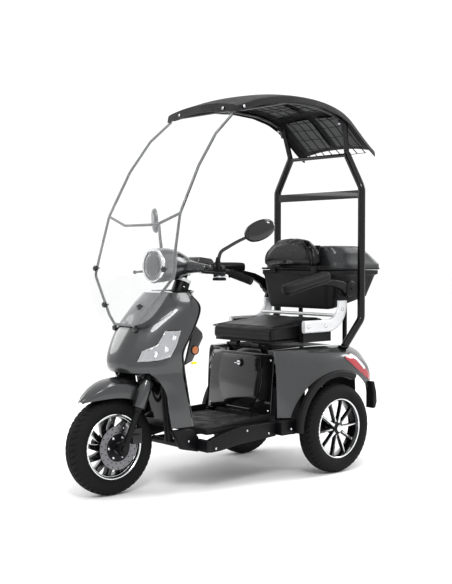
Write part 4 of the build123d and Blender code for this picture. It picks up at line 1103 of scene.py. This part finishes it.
def resample(ring, count):
    """The same closed outline with evenly spaced points."""
    ring = [Vector(p) for p in ring]
    lengths = [(b - a).length for a, b in zip(ring, ring[1:] + ring[:1])]
    total = sum(lengths)
    out, i, walked = [], 0, 0.0
    for k in range(count):
        goal = total * k / count
        while walked + lengths[i] < goal:
            walked += lengths[i]
            i += 1
        share = (goal - walked) / lengths[i] if lengths[i] else 0
        out.append(tuple(ring[i].lerp(ring[(i + 1) % len(ring)], share)))
    return out


def trunk():
    def ribs(p):
        x, y, z = p
        if z < 762 or z > 900 or y < 700:
            return p
        wave = 1.7 if abs((x if abs(x) < 180 else y) % 26 - 13) < 4 else 0
        lean = Vector((x, y - 790, 0)).normalized() * wave
        return (x - lean.x, y - lean.y, z)

    def floor(p):
        x, y, z = ribs(p)
        rise = 60 * min(1, max(0, (y - 650) / 270)) * (1 - blend_step(z, 760, 905))
        return (x, y, z + rise)

    levels = [(745.5, 206, 650, 912, 26), (749, 212, 644, 918, 29), (760, 215, 639, 921, 30),
              (763, 216, 639, 922, 30), (899, 233, 616, 954, 33), (903, 234, 615, 955, 33),
              (908, 238, 613, 962, 34), (911, 243, 610.5, 972, 36), (928, 243.5, 610.5, 973, 36),
              (930, 242, 612, 971, 35)]
    body = closed_rings("trunk_box", [rounded_ring(*lev) for lev in levels], "chassis", GRAIN,
                        ribs=floor, caps=(True, False))
    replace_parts(body, "trunk_body")
    inner = [(928, 232, 618, 958, 30), (900, 229, 620, 950, 30), (752, 209, 646, 915, 26)]
    closed_rings("trunk_inside", [rounded_ring(*lev) for lev in inner], "chassis", GRAIN,
                 ribs=floor, caps=(False, True))
    rim = [(929.5, 242, 612, 971, 35), (930, 232, 618, 958, 30)]
    closed_rings("trunk_rim", [rounded_ring(*lev) for lev in rim], "chassis", GRAIN,
                 caps=(False, False))
    flange = [(933, 240, 610, 979, 36), (934, 245, 605, 984, 38), (940, 245.5, 604.5, 984.5, 38),
              (942, 244, 606, 983, 38)]
    closed_rings("trunk_lid_flange", [rounded_ring(*lev) for lev in flange], "lid", GRAIN,
                 caps=(False, True))
    raised = [(941, 243, 641, 982, 36), (961, 243, 641, 979, 36), (965, 241, 642, 974, 36),
              (1010, 238, 641, 908, 36), (1016, 236.5, 642, 899, 36), (1040, 228, 648, 858, 35),
              (1045, 222, 654, 848, 33), (1048, 206, 668, 832, 28), (1049, 170, 700, 800, 20)]
    lid = closed_rings("trunk_lid_shell", [rounded_ring(*lev) for lev in raised], "lid", LID,
                       caps=(False, True), sharp=30)
    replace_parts(lid, "trunk_lid")
    lid_inside = [(933, 238, 612, 977, 34), (934, 235, 646, 975, 32), (962, 238, 646, 974, 32),
                  (1014, 232, 646, 898, 32), (1042, 220, 652, 842, 30)]
    closed_rings("trunk_lid_inside", [rounded_ring(*lev) for lev in lid_inside], "lid", GRAIN,
                 caps=(False, True))
    for side, label in SIDES:
        block(f"lid_hinge_{label}", sorted((side * 120, side * 160)), (601, 609), (920, 948),
              "chassis", SATIN, 2)
    block("lid_latch", (-34, 34), (975, 984), (905, 950), "lid", SATIN, 3)
    lock = [(0, 9), (3, 8.5), (3.4, 6), (2.2, 5.5), (2.2, 0.01)]
    turned("latch_lock", lock, (0, 982, 925), (0, 1, 0), "lid", CHROME, segments=32)


# ---------------------------------------------------------------- soft goods
def soft_block(name, low, high, shape, bulge, seed_cut=14):
    """Closed pad between two corners: a rounded block shaped by a function, swelled as cloth."""
    work = bmesh.new()
    bmesh.ops.create_cube(work, size=1)
    size = Vector(high) - Vector(low)
    middle = (Vector(high) + Vector(low)) / 2
    for v in work.verts:
        v.co = Vector((v.co.x * size.x, v.co.y * size.y, v.co.z * size.z)) + middle
    bmesh.ops.bevel(work, geom=work.edges[:], offset=seed_cut, segments=4, affect="EDGES",
                    profile=0.5)
    bmesh.ops.subdivide_edges(work, edges=[e for e in work.edges if e.calc_length() > 60],
                              cuts=8, use_grid_fill=True)
    for v in work.verts:
        v.co = place(*shape(*v.co))
    mesh = bpy.data.meshes.new(name)
    work.to_mesh(mesh)
    work.free()
    piece = bpy.data.objects.new(name, mesh)
    bpy.context.scene.collection.objects.link(piece)
    remesh = piece.modifiers.new("voxels", "REMESH")
    remesh.mode = "VOXEL"
    remesh.voxel_size = 0.0065
    settle(piece)
    rest = [v.co.copy() for v in piece.data.vertices]
    cloth = piece.modifiers.new("cloth", "CLOTH")
    cloth.settings.use_pressure = True
    cloth.settings.uniform_pressure_force = 4.0
    cloth.settings.effector_weights.gravity = 0
    cloth.settings.quality = 4
    cloth.settings.mass = 0.3
    cloth.settings.tension_stiffness = 18
    cloth.settings.compression_stiffness = 18
    cloth.settings.bending_stiffness = 1.2
    scene = bpy.context.scene
    for step in range(1, 21):
        scene.frame_set(step)
    settle(piece)
    scene.frame_set(1)
    for v, start in zip(piece.data.vertices, rest):
        move = v.co - start
        if move.length > bulge / 1000:
            v.co = start + move.normalized() * (bulge / 1000)
    finer = piece.modifiers.new("finer", "SUBSURF")
    finer.levels = 1
    finer.render_levels = 1
    settle(piece)
    return piece


def dress(piece, body, material):
    """Gives a pad its material and body."""
    piece.data.materials.clear()
    piece.data.materials.append(material)
    shade(piece.data, 60)
    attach(piece, body)
    return piece


def press(piece, pull):
    """Moves each point of a pad by a function of its place on the drawing."""
    for v in piece.data.vertices:
        spot = (v.co.x * 1000, v.co.y * 1000 + MIDDLE_Y, v.co.z * 1000)
        dx, dy, dz = pull(*spot)
        v.co = v.co + Vector((dx, dy, dz)) / 1000


def seat():
    def wedge(x, y, z):
        top = blend_step(z, 640, 665)
        rise = (y - 258) * 0.112 * top
        waist = 3.0 * sin(pi * (y - 258) / 362) * (1 if abs(x) > 195 else 0)
        return (x - waist * (1 if x > 0 else -1), y, z + rise)

    cushion = soft_block("seat_cushion_cover", (-207, 261, 610), (207, 615, 668), wedge, 6, 16)

    def seams(x, y, z):
        top_z = 671 + (y - 258) * 0.105
        near_top = blend_step(z, top_z - 16, top_z - 6)
        border = max(abs(x) - 176, 0) if abs(x) < 190 else 190 - 176
        line = min(abs(abs(x) - 182), abs(y - 292))
        on_top = near_top * (1 - blend_step(line, 0.5, 5)) * (1 if y > 286 and abs(x) < 188 else 0)
        dz = -3.2 * on_top
        side_line = abs(z - (top_z - 24))
        groove = (1 - blend_step(side_line, 0.5, 3.5)) * (1 - near_top)
        dx = -2.0 * groove * (1 if x > 0 else -1) * (1 if abs(x) > 196 else 0)
        dy = 2.0 * groove * (1 if y < 272 else 0)
        dz += -1.0 * near_top * sin(x / 23 + 1.2 * sin(y / 41)) * 0.5 * (border < 14)
        return dx, dy, dz

    press(cushion, seams)
    dress(cushion, "seat", VINYL)
    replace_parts(cushion, "seat_cushion")
    ring = [(x, y, 672 + (y - 258) * 0.105 - 4.5) for x, y in
            ((-207, 560), (-207, 420), (-207, 300), (-201, 270), (-184, 261), (-60, 257),
             (60, 257), (184, 261), (201, 270), (207, 300), (207, 420), (207, 560))]
    pipe("seat_piping", ring, 2.6, "seat", GLOSS_VINYL, sides=10, smooth=6)
    bar = [(-246, 634, 720), (-120, 634, 720), (120, 634, 720), (246, 634, 720)]
    pipe("bracket_crossbar", bar, 8, "seat", SILVER, sides=24, smooth=4)

    def backrest(x, y, z):
        share = blend_step(z, 975, 1090)
        narrow = 1 - 0.42 * share ** 1.6
        round_off = 12 * blend_step(z, 1040, 1086) * (abs(x) / 172) ** 2
        return (x * narrow, y + 8 * share, z - round_off)

    pad = soft_block("backrest_cover", (-177, 569, 952), (177, 628, 1086), backrest, 6, 20)

    def back_seams(x, y, z):
        reach = 176 * (1 - 0.42 * blend_step(z, 975, 1090) ** 1.6)
        edge = min(abs(reach - 26 - abs(x)), abs(z - 1066) if abs(x) < reach - 26 else 99)
        groove = 1 - blend_step(edge, 0.5, 5)
        front = blend_step(-y, -590, -580)
        return 0, 2.8 * groove * front, 0

    press(pad, back_seams)
    dress(pad, "lid", GLOSS_VINYL)
    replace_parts(pad, "backrest_pad")
    block("backrest_board", (-150, 150), (628, 640), (960, 1050), "lid", GRAIN, 3)


def arms():
    for side, label in SIDES:
        tilt = radians(12) if side > 0 else 0.0
        turn = Matrix.Rotation(tilt, 3, "X")
        pivot = Vector((0, 705, 845))

        def tilted(p):
            q = turn @ (Vector(p) - pivot) + pivot
            return (side * q.x, q.y, q.z)

        def shape(x, y, z):
            ends = blend_step(-y, 590, 625) * -4
            return tilted((x + (298 - x) * 0.1 * blend_step(-y, -290, -262), y, z + ends * 0.2))

        pad = soft_block(f"arm_pad_{label}", (273, 258, 921), (323, 547, 966), shape, 3.5, 12)
        dress(pad, f"arm_{label}", ARM_PAD)
        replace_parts(pad, f"armrest_{label}")
        outline = [(-38, -6), (-34, 14), (-22, 32), (-40, 44), (-104, 68), (-190, 84),
                   (-190, 66), (-120, 42), (-60, 10), (-44, -14)]
        points = []
        for x in (264, 288):
            for dy, dz in outline:
                points.append(place(*tilted((x, 705 + dy, 845 + dz))))
        bevelled(f"arm_link_{label}", points, prism_faces(len(outline)), f"arm_{label}", SATIN, 5,
                 4, slot="arm_pad")
        knuckle = [(-14, 0.01), (-14, 33), (-11, 37.5), (11, 37.5), (14, 33), (14, 20), (15.5, 18),
                   (16, 0.01)]
        turned(f"arm_knuckle_{label}", [(side * a, r) for a, r in knuckle],
               (side * 277, 705, 845), (1, 0, 0), f"arm_{label}", SATIN, segments=64)
        tray = []
        for x in (276, 320):
            for dy, dz in ((-444, 71), (-160, 71), (-160, 79), (-444, 79)):
                tray.append(place(*tilted((x, 705 + dy, 845 + dz))))
        faces = [(0, 1, 2, 3), (7, 6, 5, 4)]
        faces += [(i, (i + 1) % 4, 4 + (i + 1) % 4, 4 + i) for i in range(4)]
        bevelled(f"arm_tray_{label}", tray, faces, f"arm_{label}", GRAIN, 3, 3)
        bend = [(0, 580 + 100 * sin(radians(a)), 774 - 100 * cos(radians(a)))
                for a in range(0, 91, 15)]
        path = spline([(0, 419, 674), (0, 500, 674)] + bend + [(0, 680, 789)], 4)
        points, section = [], []
        for k in range(28):
            angle = 2 * pi * k / 28
            a, b = cos(angle), sin(angle)
            section.append((11 * abs(a) ** 0.6 * (1 if a > 0 else -1),
                            29 * abs(b) ** 0.75 * (1 if b > 0 else -1)))
        for i, p in enumerate(path):
            ahead = (path[min(i + 1, len(path) - 1)] - path[max(i - 1, 0)]).normalized()
            normal = Vector((0, -ahead.z, ahead.y))
            for a, b in section:
                q = p + normal * b
                points.append(place(side * (251 + a), q.y, q.z))
        faces = grid_faces(len(path), 28, around=True)
        faces += [tuple(range(28)), tuple(range((len(path) - 1) * 28, len(path) * 28))]
        bracket = add(f"arm_bracket_skin_{label}", points, faces, "seat", SILVER, 50)
        face_out(bracket.data, place(side * 251, 560, 690))
        shade(bracket.data, 50)
        if side > 0:
            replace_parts(bracket, "arm_brackets")
        for name, y, z in (("front", 442, 674), ("rear", 556, 674), ("top", 672, 748)):
            screw(f"bracket_screw_{name}_{label}", (side * 262, y, z), (side, 0, 0), "seat", 7.5)
        pod = [(436, 611), (610, 611), (610, 640), (590, 655), (450, 652), (436, 636)]
        low, high = sorted((side * 226, side * 239.5))
        plate(f"seat_side_{label}", pod, low, high, "seat", SATIN, 4)


# ---------------------------------------------------------------- steering
RAKE = radians(23)


def steered(x, back, up):
    """Place of a point in the steering frame: sideways, backwards and up its axis."""
    return (x, -110 + back * cos(RAKE) + up * sin(RAKE), 835 - back * sin(RAKE) + up * cos(RAKE))


FENDER = [
    (37, 14, 240, 243, 249),
    (28, 40, 226, 246, 258),
    (16, 60, 214, 254, 270),
    (4, 70, 208, 262, 281),
    (-10, 74, 206, 266, 289),
    (-24, 76, 208, 268, 291),
    (-36, 76, 214, 268, 290),
]


def front_fender():
    rows = []
    for angle, width, skirt, shoulder, ridge in FENDER:
        turn = radians(angle)
        half = [(0, ridge), (0.5 * width, ridge - 4), (0.84 * width, shoulder + 3),
                (0.93 * width, shoulder - 4), (width, (shoulder + skirt) / 2), (width, skirt)]
        rows.append([(x, FRONT_Y - r * sin(turn), AXLE_Z + r * cos(turn))
                     for x, r in mirror_x(half)])
    grid = dense(rows, 5, 6)
    skin = cover("front_fender_skin", grid, "steering", PAINT, (0, FRONT_Y, AXLE_Z), thick=3)
    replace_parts(skin, "front_fender")
    for side, label in SIDES:
        profile = [(-545, 19.6), (-545, 26), (-541, 28), (-470, 29), (-429, 28), (-425, 26),
                   (-425, 19.6), (-545, 19.6)]
        axis = (0, sin(RAKE), cos(RAKE))
        turned(f"fork_boss_{label}", profile, steered(side * 92, -84, 0), axis, "steering", PAINT,
               segments=48)
        for i, up in enumerate((-530, -440)):
            x, y, z = steered(side * 116, -84, up)
            screw(f"fender_screw_{label}_{i + 1}", (x - side * 1.5, y, z), (side, 0, 0), "steering",
                  5)


LAMP_Z = 957.0


def headlight():
    sections = [(-244, 957, 73), (-232, 957.5, 74.2), (-200, 960, 74.6), (-165, 961, 71),
                (-125, 960, 62.5), (-90, 958, 50), (-62, 956, 36)]
    rows = []
    for y, z, radius in sections:
        rows.append([(radius * cos(2 * pi * k / 64), y, z + radius * sin(2 * pi * k / 64))
                     for k in range(65)])
    smooth = [list(r) for r in zip(*[spline(c, 4) for c in zip(*rows)])]
    shell = cover("headlight_skin", smooth, "steering", PAINT, (0, -150, 958), thick=3)
    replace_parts(shell, "headlight_shell")
    for side, label in SIDES:
        rings = []
        for x, y, z, deep, tall in ((26, -88, 950, 42, 32), (52, -76, 950, 38, 28),
                                    (84, -62, 948, 30, 22), (112, -51, 946, 24, 18),
                                    (125, -47, 945, 21, 16.5), (127.5, -46, 945, 16, 13)):
            ring = []
            for k in range(40):
                angle = 2 * pi * k / 40
                a, b = cos(angle), sin(angle)
                ring.append(place(side * x, y + deep * abs(a) ** 0.75 * (1 if a > 0 else -1),
                                  z + tall * abs(b) ** 0.75 * (1 if b > 0 else -1)))
            rings.append(ring)
        points = [p for ring in rings for p in ring]
        faces = grid_faces(len(rings), 40, around=True)
        faces.append(tuple(range(len(points) - 40, len(points))))
        wing = add(f"headlight_wing_{label}", points, faces, "steering", PAINT, 40)
        face_out(wing.data, place(side * 70, -68, 948))
        shade(wing.data, 40)
    front = Vector((0, -244.5, LAMP_Z))
    ring = [(0, 63.8), (0, 75), (4, 76), (9, 74.5), (12, 71), (12.2, 67), (10, 64.2), (4, 63.8),
            (0, 63.8)]
    bezel = turned("headlight_bezel", ring, front, (0, -1, 0), "steering", CHROME, segments=128)
    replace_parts(bezel, "headlight_ring")
    bowl = [(-28, 0.01), (-28, 40), (-22, 54), (-8, 61), (3, 63.5)]
    turned("headlight_bowl", bowl, front, (0, -1, 0), "steering", GLOSS, segments=96, sharp=60)
    for i, rise in enumerate((27, -25)):
        spot = (0, -236, LAMP_Z + rise)
        cup = [(-10, 0.01), (-9, 8), (-4, 17), (2, 23), (4, 25.5), (5.4, 25.8), (5.4, 24.8)]
        turned(f"headlight_lobe_{i + 1}", cup, spot, (0, -1, 0), "steering", LAMP_BACK,
               segments=64, sharp=50)
        bulb = [(-4, 10), (2, 9.4), (6, 6.5), (8, 0.01)]
        turned(f"headlight_eye_{i + 1}", bulb, spot, (0, -1, 0), "steering", WHITE_LENS,
               segments=40)
    for side, label in SIDES:
        crescent = []
        for k in range(17):
            angle = radians(-58 + 116 * k / 16)
            crescent.append((side * 54 * cos(angle), -247, LAMP_Z + 54 * sin(angle)))
        pipe(f"headlight_bow_{label}", crescent, 3.4, "steering", WHITE_LENS, sides=12, smooth=2)
    glass = [(0, 63.2), (6, 63), (8.5, 56), (10, 34), (10.6, 0.01)]
    lens = turned("headlight_glass", glass, front, (0, -1, 0), "steering", LENS, segments=96,
                  sharp=60)
    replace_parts(lens, "headlight_lens")


def dashboard():
    section = [(-56, 966), (-42, 990), (-34, 995), (34, 987), (44, 976), (45, 964)]
    hood = plate("display_hood", section, -60, 60, "steering", GLOSS, 6, steps=4,
                 slot="display_black")
    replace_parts(hood, "dash_display")
    face = [place(x, y, 995.4 - (y + 34) * 8 / 68 + rise) for rise in (-2, 0.6)
            for x, y in ((-46, -30), (46, -30), (40, 26), (-40, 26))]
    faces = [(0, 1, 2, 3), (7, 6, 5, 4)] + [(i, (i + 1) % 4, 4 + (i + 1) % 4, 4 + i)
                                            for i in range(4)]
    bevelled("display_screen", face, faces, "steering", SCREEN, 0.8)
    for side, label in SIDES:
        low, high = sorted((side * 30, side * 74))
        wedge = [(-40, 952), (-22, 966), (22, 960), (26, 946), (-20, 938)]
        plate(f"bar_cover_{label}", wedge, low, high, "steering", SATIN, 5, steps=4)
    axis = (0, sin(RAKE), cos(RAKE))
    ring = [(52, 20), (52, 35.5), (56, 37), (64, 37), (68, 35), (68, 20), (52, 20)]
    turned("stem_ring", ring, (0, -110, 835), axis, "steering", SILVER, segments=64)
    tube = [(-8, 22), (-8, 36), (-4, 38), (10, 36), (50, 34.6), (52, 34), (52, 22), (-8, 22)]
    column = turned("stem_skin", tube, (0, -110, 835), axis, "steering", SATIN, segments=64)
    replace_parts(column, "stem_cover")
    for side in (1, -1):
        x, y, z = steered(side * 35, -10, 28)
        screw(f"stem_screw_{'left' if side > 0 else 'right'}", (x, y, z), (side, -0.3, 0),
              "steering", 5)


GRIP_START, GRIP_END = Vector((200, -4, 931)), Vector((302, 39, 893))


def grips():
    run = GRIP_END - GRIP_START
    length = run.length
    for side, label in SIDES:
        body = "steering" if side > 0 else "throttle"
        profile = [(0.16 * length, 11.3), (0.16 * length, 19), (0.18 * length, 20),
                   (0.2 * length, 19), (0.21 * length, 15.6)]
        for i in range(16):
            start = (0.24 + i * 0.049) * length
            profile += [(start, 15.2), (start + 0.8, 16.9), (start + 3.4, 16.9),
                        (start + 4.2, 15.2)]
        profile += [(1.02 * length, 15.6), (1.03 * length, 17.4), (1.06 * length, 17.4),
                    (1.075 * length, 14), (1.08 * length, 6), (1.08 * length, 0.01)]

        def pads(k, i, along):
            return 0.45 * sin(9 * 2 * pi * i / 72) if 5 < k < 68 else 0

        piece = turned(f"grip_{label}_rubber", profile, (side * GRIP_START.x, *GRIP_START[1:]),
                       (side * run.x, run.y, run.z), body, RUBBER, segments=72, sharp=30,
                       shape=pads)
        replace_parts(piece, "grip_left" if side > 0 else "throttle_grip")


def pods():
    made = []
    for side, label in SIDES:
        turn = Matrix.Rotation(side * radians(24), 3, "Z")
        centre = Vector((side * 172, -22, 934))
        points, faces = [], []
        rings = ((-23, 15, 20), (-20, 21, 24), (-6, 23, 25), (8, 22.5, 24), (20, 20, 22),
                 (23, 15, 17))
        for along, deep, tall in rings:
            for k in range(48):
                angle = 2 * pi * k / 48
                a, b = cos(angle), sin(angle)
                q = Vector((along, deep * abs(a) ** 0.5 * (1 if a > 0 else -1),
                            tall * abs(b) ** 0.5 * (1 if b > 0 else -1)))
                q = centre + turn @ q
                points.append(place(*q))
        faces = grid_faces(len(rings), 48, around=True)
        faces += [tuple(range(48)), tuple(range(len(points) - 48, len(points)))]
        pod = add(f"pod_skin_{label}", points, faces, "steering", SATIN, 45)
        face_out(pod.data, place(*centre))
        shade(pod.data, 45)
        made.append(pod)
        perch = [(side * 158, -38, 935), (side * 150, -52, 934), (side * 143, -72, 932)]
        pipe(f"perch_{label}", perch, 11, "steering", SATIN, smooth=4)
        pipe(f"mirror_socket_{label}", [(side * 186, -36, 940), (side * 191, -45, 956),
                                        (side * 194, -50, 966)], 9.5, "steering", SATIN, smooth=4)
        x, y = side * 142, -86
        blade = [(x, y, 930), (x + side * 14, y - 14, 930), (x + side * 34, y - 26, 930),
                 (side * 210, -122, 929), (side * 245, -128, 928), (side * 280, -124, 926),
                 (side * 306, -120, 924)]
        lever = pipe(f"lever_blade_{label}", blade, 6, f"lever_{label}", SATIN, smooth=5,
                     radii=lambda t: 7.2 - 2.4 * t)
        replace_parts(lever, f"brake_lever_{label}")
        ball = [(-9, 0.01), (-8, 4.5), (-4.5, 8), (0, 9), (4.5, 8), (8, 4.5), (9, 0.01)]
        turned(f"lever_ball_{label}", ball, (side * 310, -120, 924), (side, 0.05, -0.05),
               f"lever_{label}", SATIN, segments=40)
        hub = [(-7, 0.01), (-7, 9), (-5, 10), (5, 10), (7, 9), (7, 4), (8, 3.6), (8, 0.01)]
        turned(f"lever_hub_{label}", hub, (x, y, 930), (0, 0, 1), f"lever_{label}", SATIN,
               segments=40)
    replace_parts(made[0], "switch_pods")
    block("pod_wedge", (150, 192), (-40, 2), (904, 914), "steering", SILVER, 3)
    block("pod_trigger", (160, 200), (-52, -6), (893, 904), "steering", SATIN, 3)
    horn = [(0, 6.4), (9, 6.2), (11, 5), (11.6, 0.01)]
    button = turned("horn_cap", horn, (170, 2, 929), (0, 1, 0), "horn", RED_BUTTON, segments=32)
    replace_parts(button, "horn_button")


def mirrors():
    plans = {
        1: ([(194, -50, 968), (196, -46, 992), (202, -37, 1018), (224, -12, 1040),
             (252, 14, 1062), (280, 40, 1080), (296, 54, 1092)], (312, 66, 1108), (-24, 34)),
        -1: ([(194, -50, 968), (197, -50, 1000), (203, -48, 1032), (226, -36, 1070),
              (252, -20, 1110), (272, -6, 1136), (288, 4, 1150)], (305, 14, 1166), (-46, 30)),
    }
    for side, (stem, centre, lean) in plans.items():
        label = "left" if side > 0 else "right"
        body = f"mirror_{label}"
        pipe(f"mirror_stem_{label}", [(side * x, y, z) for x, y, z in stem], 6.6, body, GLOSS,
             smooth=6, radii=lambda t: 8.5 - 2.2 * t if t < 0.9 else 6.3 + 30 * (t - 0.9))
        boot = [(0, 11), (3, 12), (12, 10.5), (20, 8.5), (26, 7), (26, 5)]
        turned(f"mirror_boot_{label}", boot, (side * 194, -50, 968), (0, 0, 1), body, RUBBER,
               segments=40)
        turn = (Matrix.Rotation(radians(lean[1]), 3, "Z")
                @ Matrix.Rotation(radians(lean[0]), 3, "Y"))
        reach = 385.0
        local = []
        for depth, scale in ((-11, 0.9), (-9.5, 0.97), (-6, 1.0), (0, 0.985), (6, 0.93),
                             (11, 0.8), (13.5, 0.6), (15, 0.35), (15.5, 0.02)):
            for k in range(72):
                angle = 2 * pi * k / 72
                flat = 1 - 0.05 * cos(2 * angle)
                local.append(turn @ Vector((74 * scale * cos(angle) * flat, -depth,
                                            43 * scale * sin(angle))))
        far = max(p.x for p in local) + centre[0]
        shift = reach - 0.5 - far
        points = [place(side * (centre[0] + p.x + shift), centre[1] + p.y, centre[2] + p.z)
                  for p in local]
        faces = grid_faces(9, 72, around=True)
        faces.append(tuple(range(len(points) - 72, len(points))))
        head = add(f"mirror_head_{label}", points, faces, body, GLOSS, 40)
        middle = sum(points, Vector()) / len(points)
        glass = []
        for depth, scale in ((-10.6, 0.9), (-9.6, 0.86), (-9.6, 0.5), (-9.6, 0.02)):
            for k in range(72):
                angle = 2 * pi * k / 72
                flat = 1 - 0.05 * cos(2 * angle)
                p = turn @ Vector((74 * scale * cos(angle) * flat, -depth,
                                   43 * scale * sin(angle)))
                glass.append(place(side * (centre[0] + p.x + shift), centre[1] + p.y,
                                   centre[2] + p.z))
        faces = grid_faces(4, 72, around=True) + [tuple(range(216, 288))]
        pane = add(f"mirror_pane_{label}", glass, faces, body, MIRROR, 40)
        for item in (head, pane):
            face_out(item.data, middle)
            shade(item.data, 40)
        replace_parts(head, f"mirror_{label}")


# ---------------------------------------------------------------- carried-over parts
def finish_cad():
    looks = {
        "main_frame": FRAME, "head_bearings": STEEL, "lock_key": STEEL, "batteries": BATTERY,
        "controller": SATIN, "axle_housing": FRAME, "roof_rails": TUBE, "roof_hoop": TUBE,
        "windshield_frame": TUBE, "seat_pan": SATIN, "steering_stem": SATIN,
        "fork_sliders": SATIN, "brake_caliper": CALIPER, "handlebar": TUBE, "turn_switch": GRAIN,
        "front_disc": DISC,
    }
    for name, material in looks.items():
        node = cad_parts[name]
        node.data.materials.clear()
        node.data.materials.append(material)
        shade(node.data, 35)


# ---------------------------------------------------------------- stage
def stage():
    points = [Vector((x, y, 0)) for x, y in ((-40, -40), (40, -40), (40, 40), (-40, 40))]
    mesh = bpy.data.meshes.new("floor")
    mesh.from_pydata([tuple(p) for p in points], [], [(0, 1, 2, 3)])
    floor = bpy.data.objects.new("floor", mesh)
    bpy.context.scene.collection.objects.link(floor)
    paper = finish_of("floor_paper", (0.93, 0.93, 0.93), 0.85, vary=0.01)
    mesh.materials.append(paper)
    world = bpy.data.worlds.new("studio")
    bpy.context.scene.world = world
    world.use_nodes = True
    bpy.context.scene.view_settings.view_transform = "Standard"
    bpy.context.scene.view_settings.look = "Medium High Contrast"
    world.node_tree.nodes["Background"].inputs["Color"].default_value = (1, 1, 1, 1)
    world.node_tree.nodes["Background"].inputs["Strength"].default_value = 0.9
    lights = (("key", (3.2, -2.6, 4.2), 90, 1.6), ("side", (-4.0, -2.0, 2.6), 40, 2.4),
              ("top", (0.4, 0.4, 4.6), 60, 2.2), ("rear", (1.5, 4.2, 2.8), 60, 2.0))
    for name, spot, power, size in lights:
        data = bpy.data.lights.new(name, "AREA")
        data.energy = power
        data.shape = "DISK"
        data.size = size
        light = bpy.data.objects.new(name, data)
        light.location = spot
        aim = Vector((0, 0, 0.7)) - Vector(spot)
        light.rotation_euler = aim.to_track_quat("-Z", "Y").to_euler()
        bpy.context.scene.collection.objects.link(light)


def camera():
    data = bpy.data.cameras.new("camera")
    data.sensor_width = 36
    data.lens = 63.2
    lens = bpy.data.objects.new("camera", data)
    azimuth, pitch = radians(48.474), radians(1.979)
    lens.location = (3.5183, -3.0961, 0.9965)
    view = Vector((-sin(azimuth) * cos(pitch), cos(azimuth) * cos(pitch), -sin(pitch)))
    lens.rotation_euler = view.to_track_quat("-Z", "Y").to_euler()
    bpy.context.scene.collection.objects.link(lens)
    bpy.context.scene.camera = lens


camera()
stage()
finish_cad()
front_wheel()
rear_wheel(1)
rear_wheel(-1)
fairing()
leg_shield()
floor_pieces()
trims()
rear_covers()
rear_middle()
roof()
windshield()
trunk()
seat()
arms()
front_fender()
headlight()
dashboard()
grips()
pods()
mirrors()
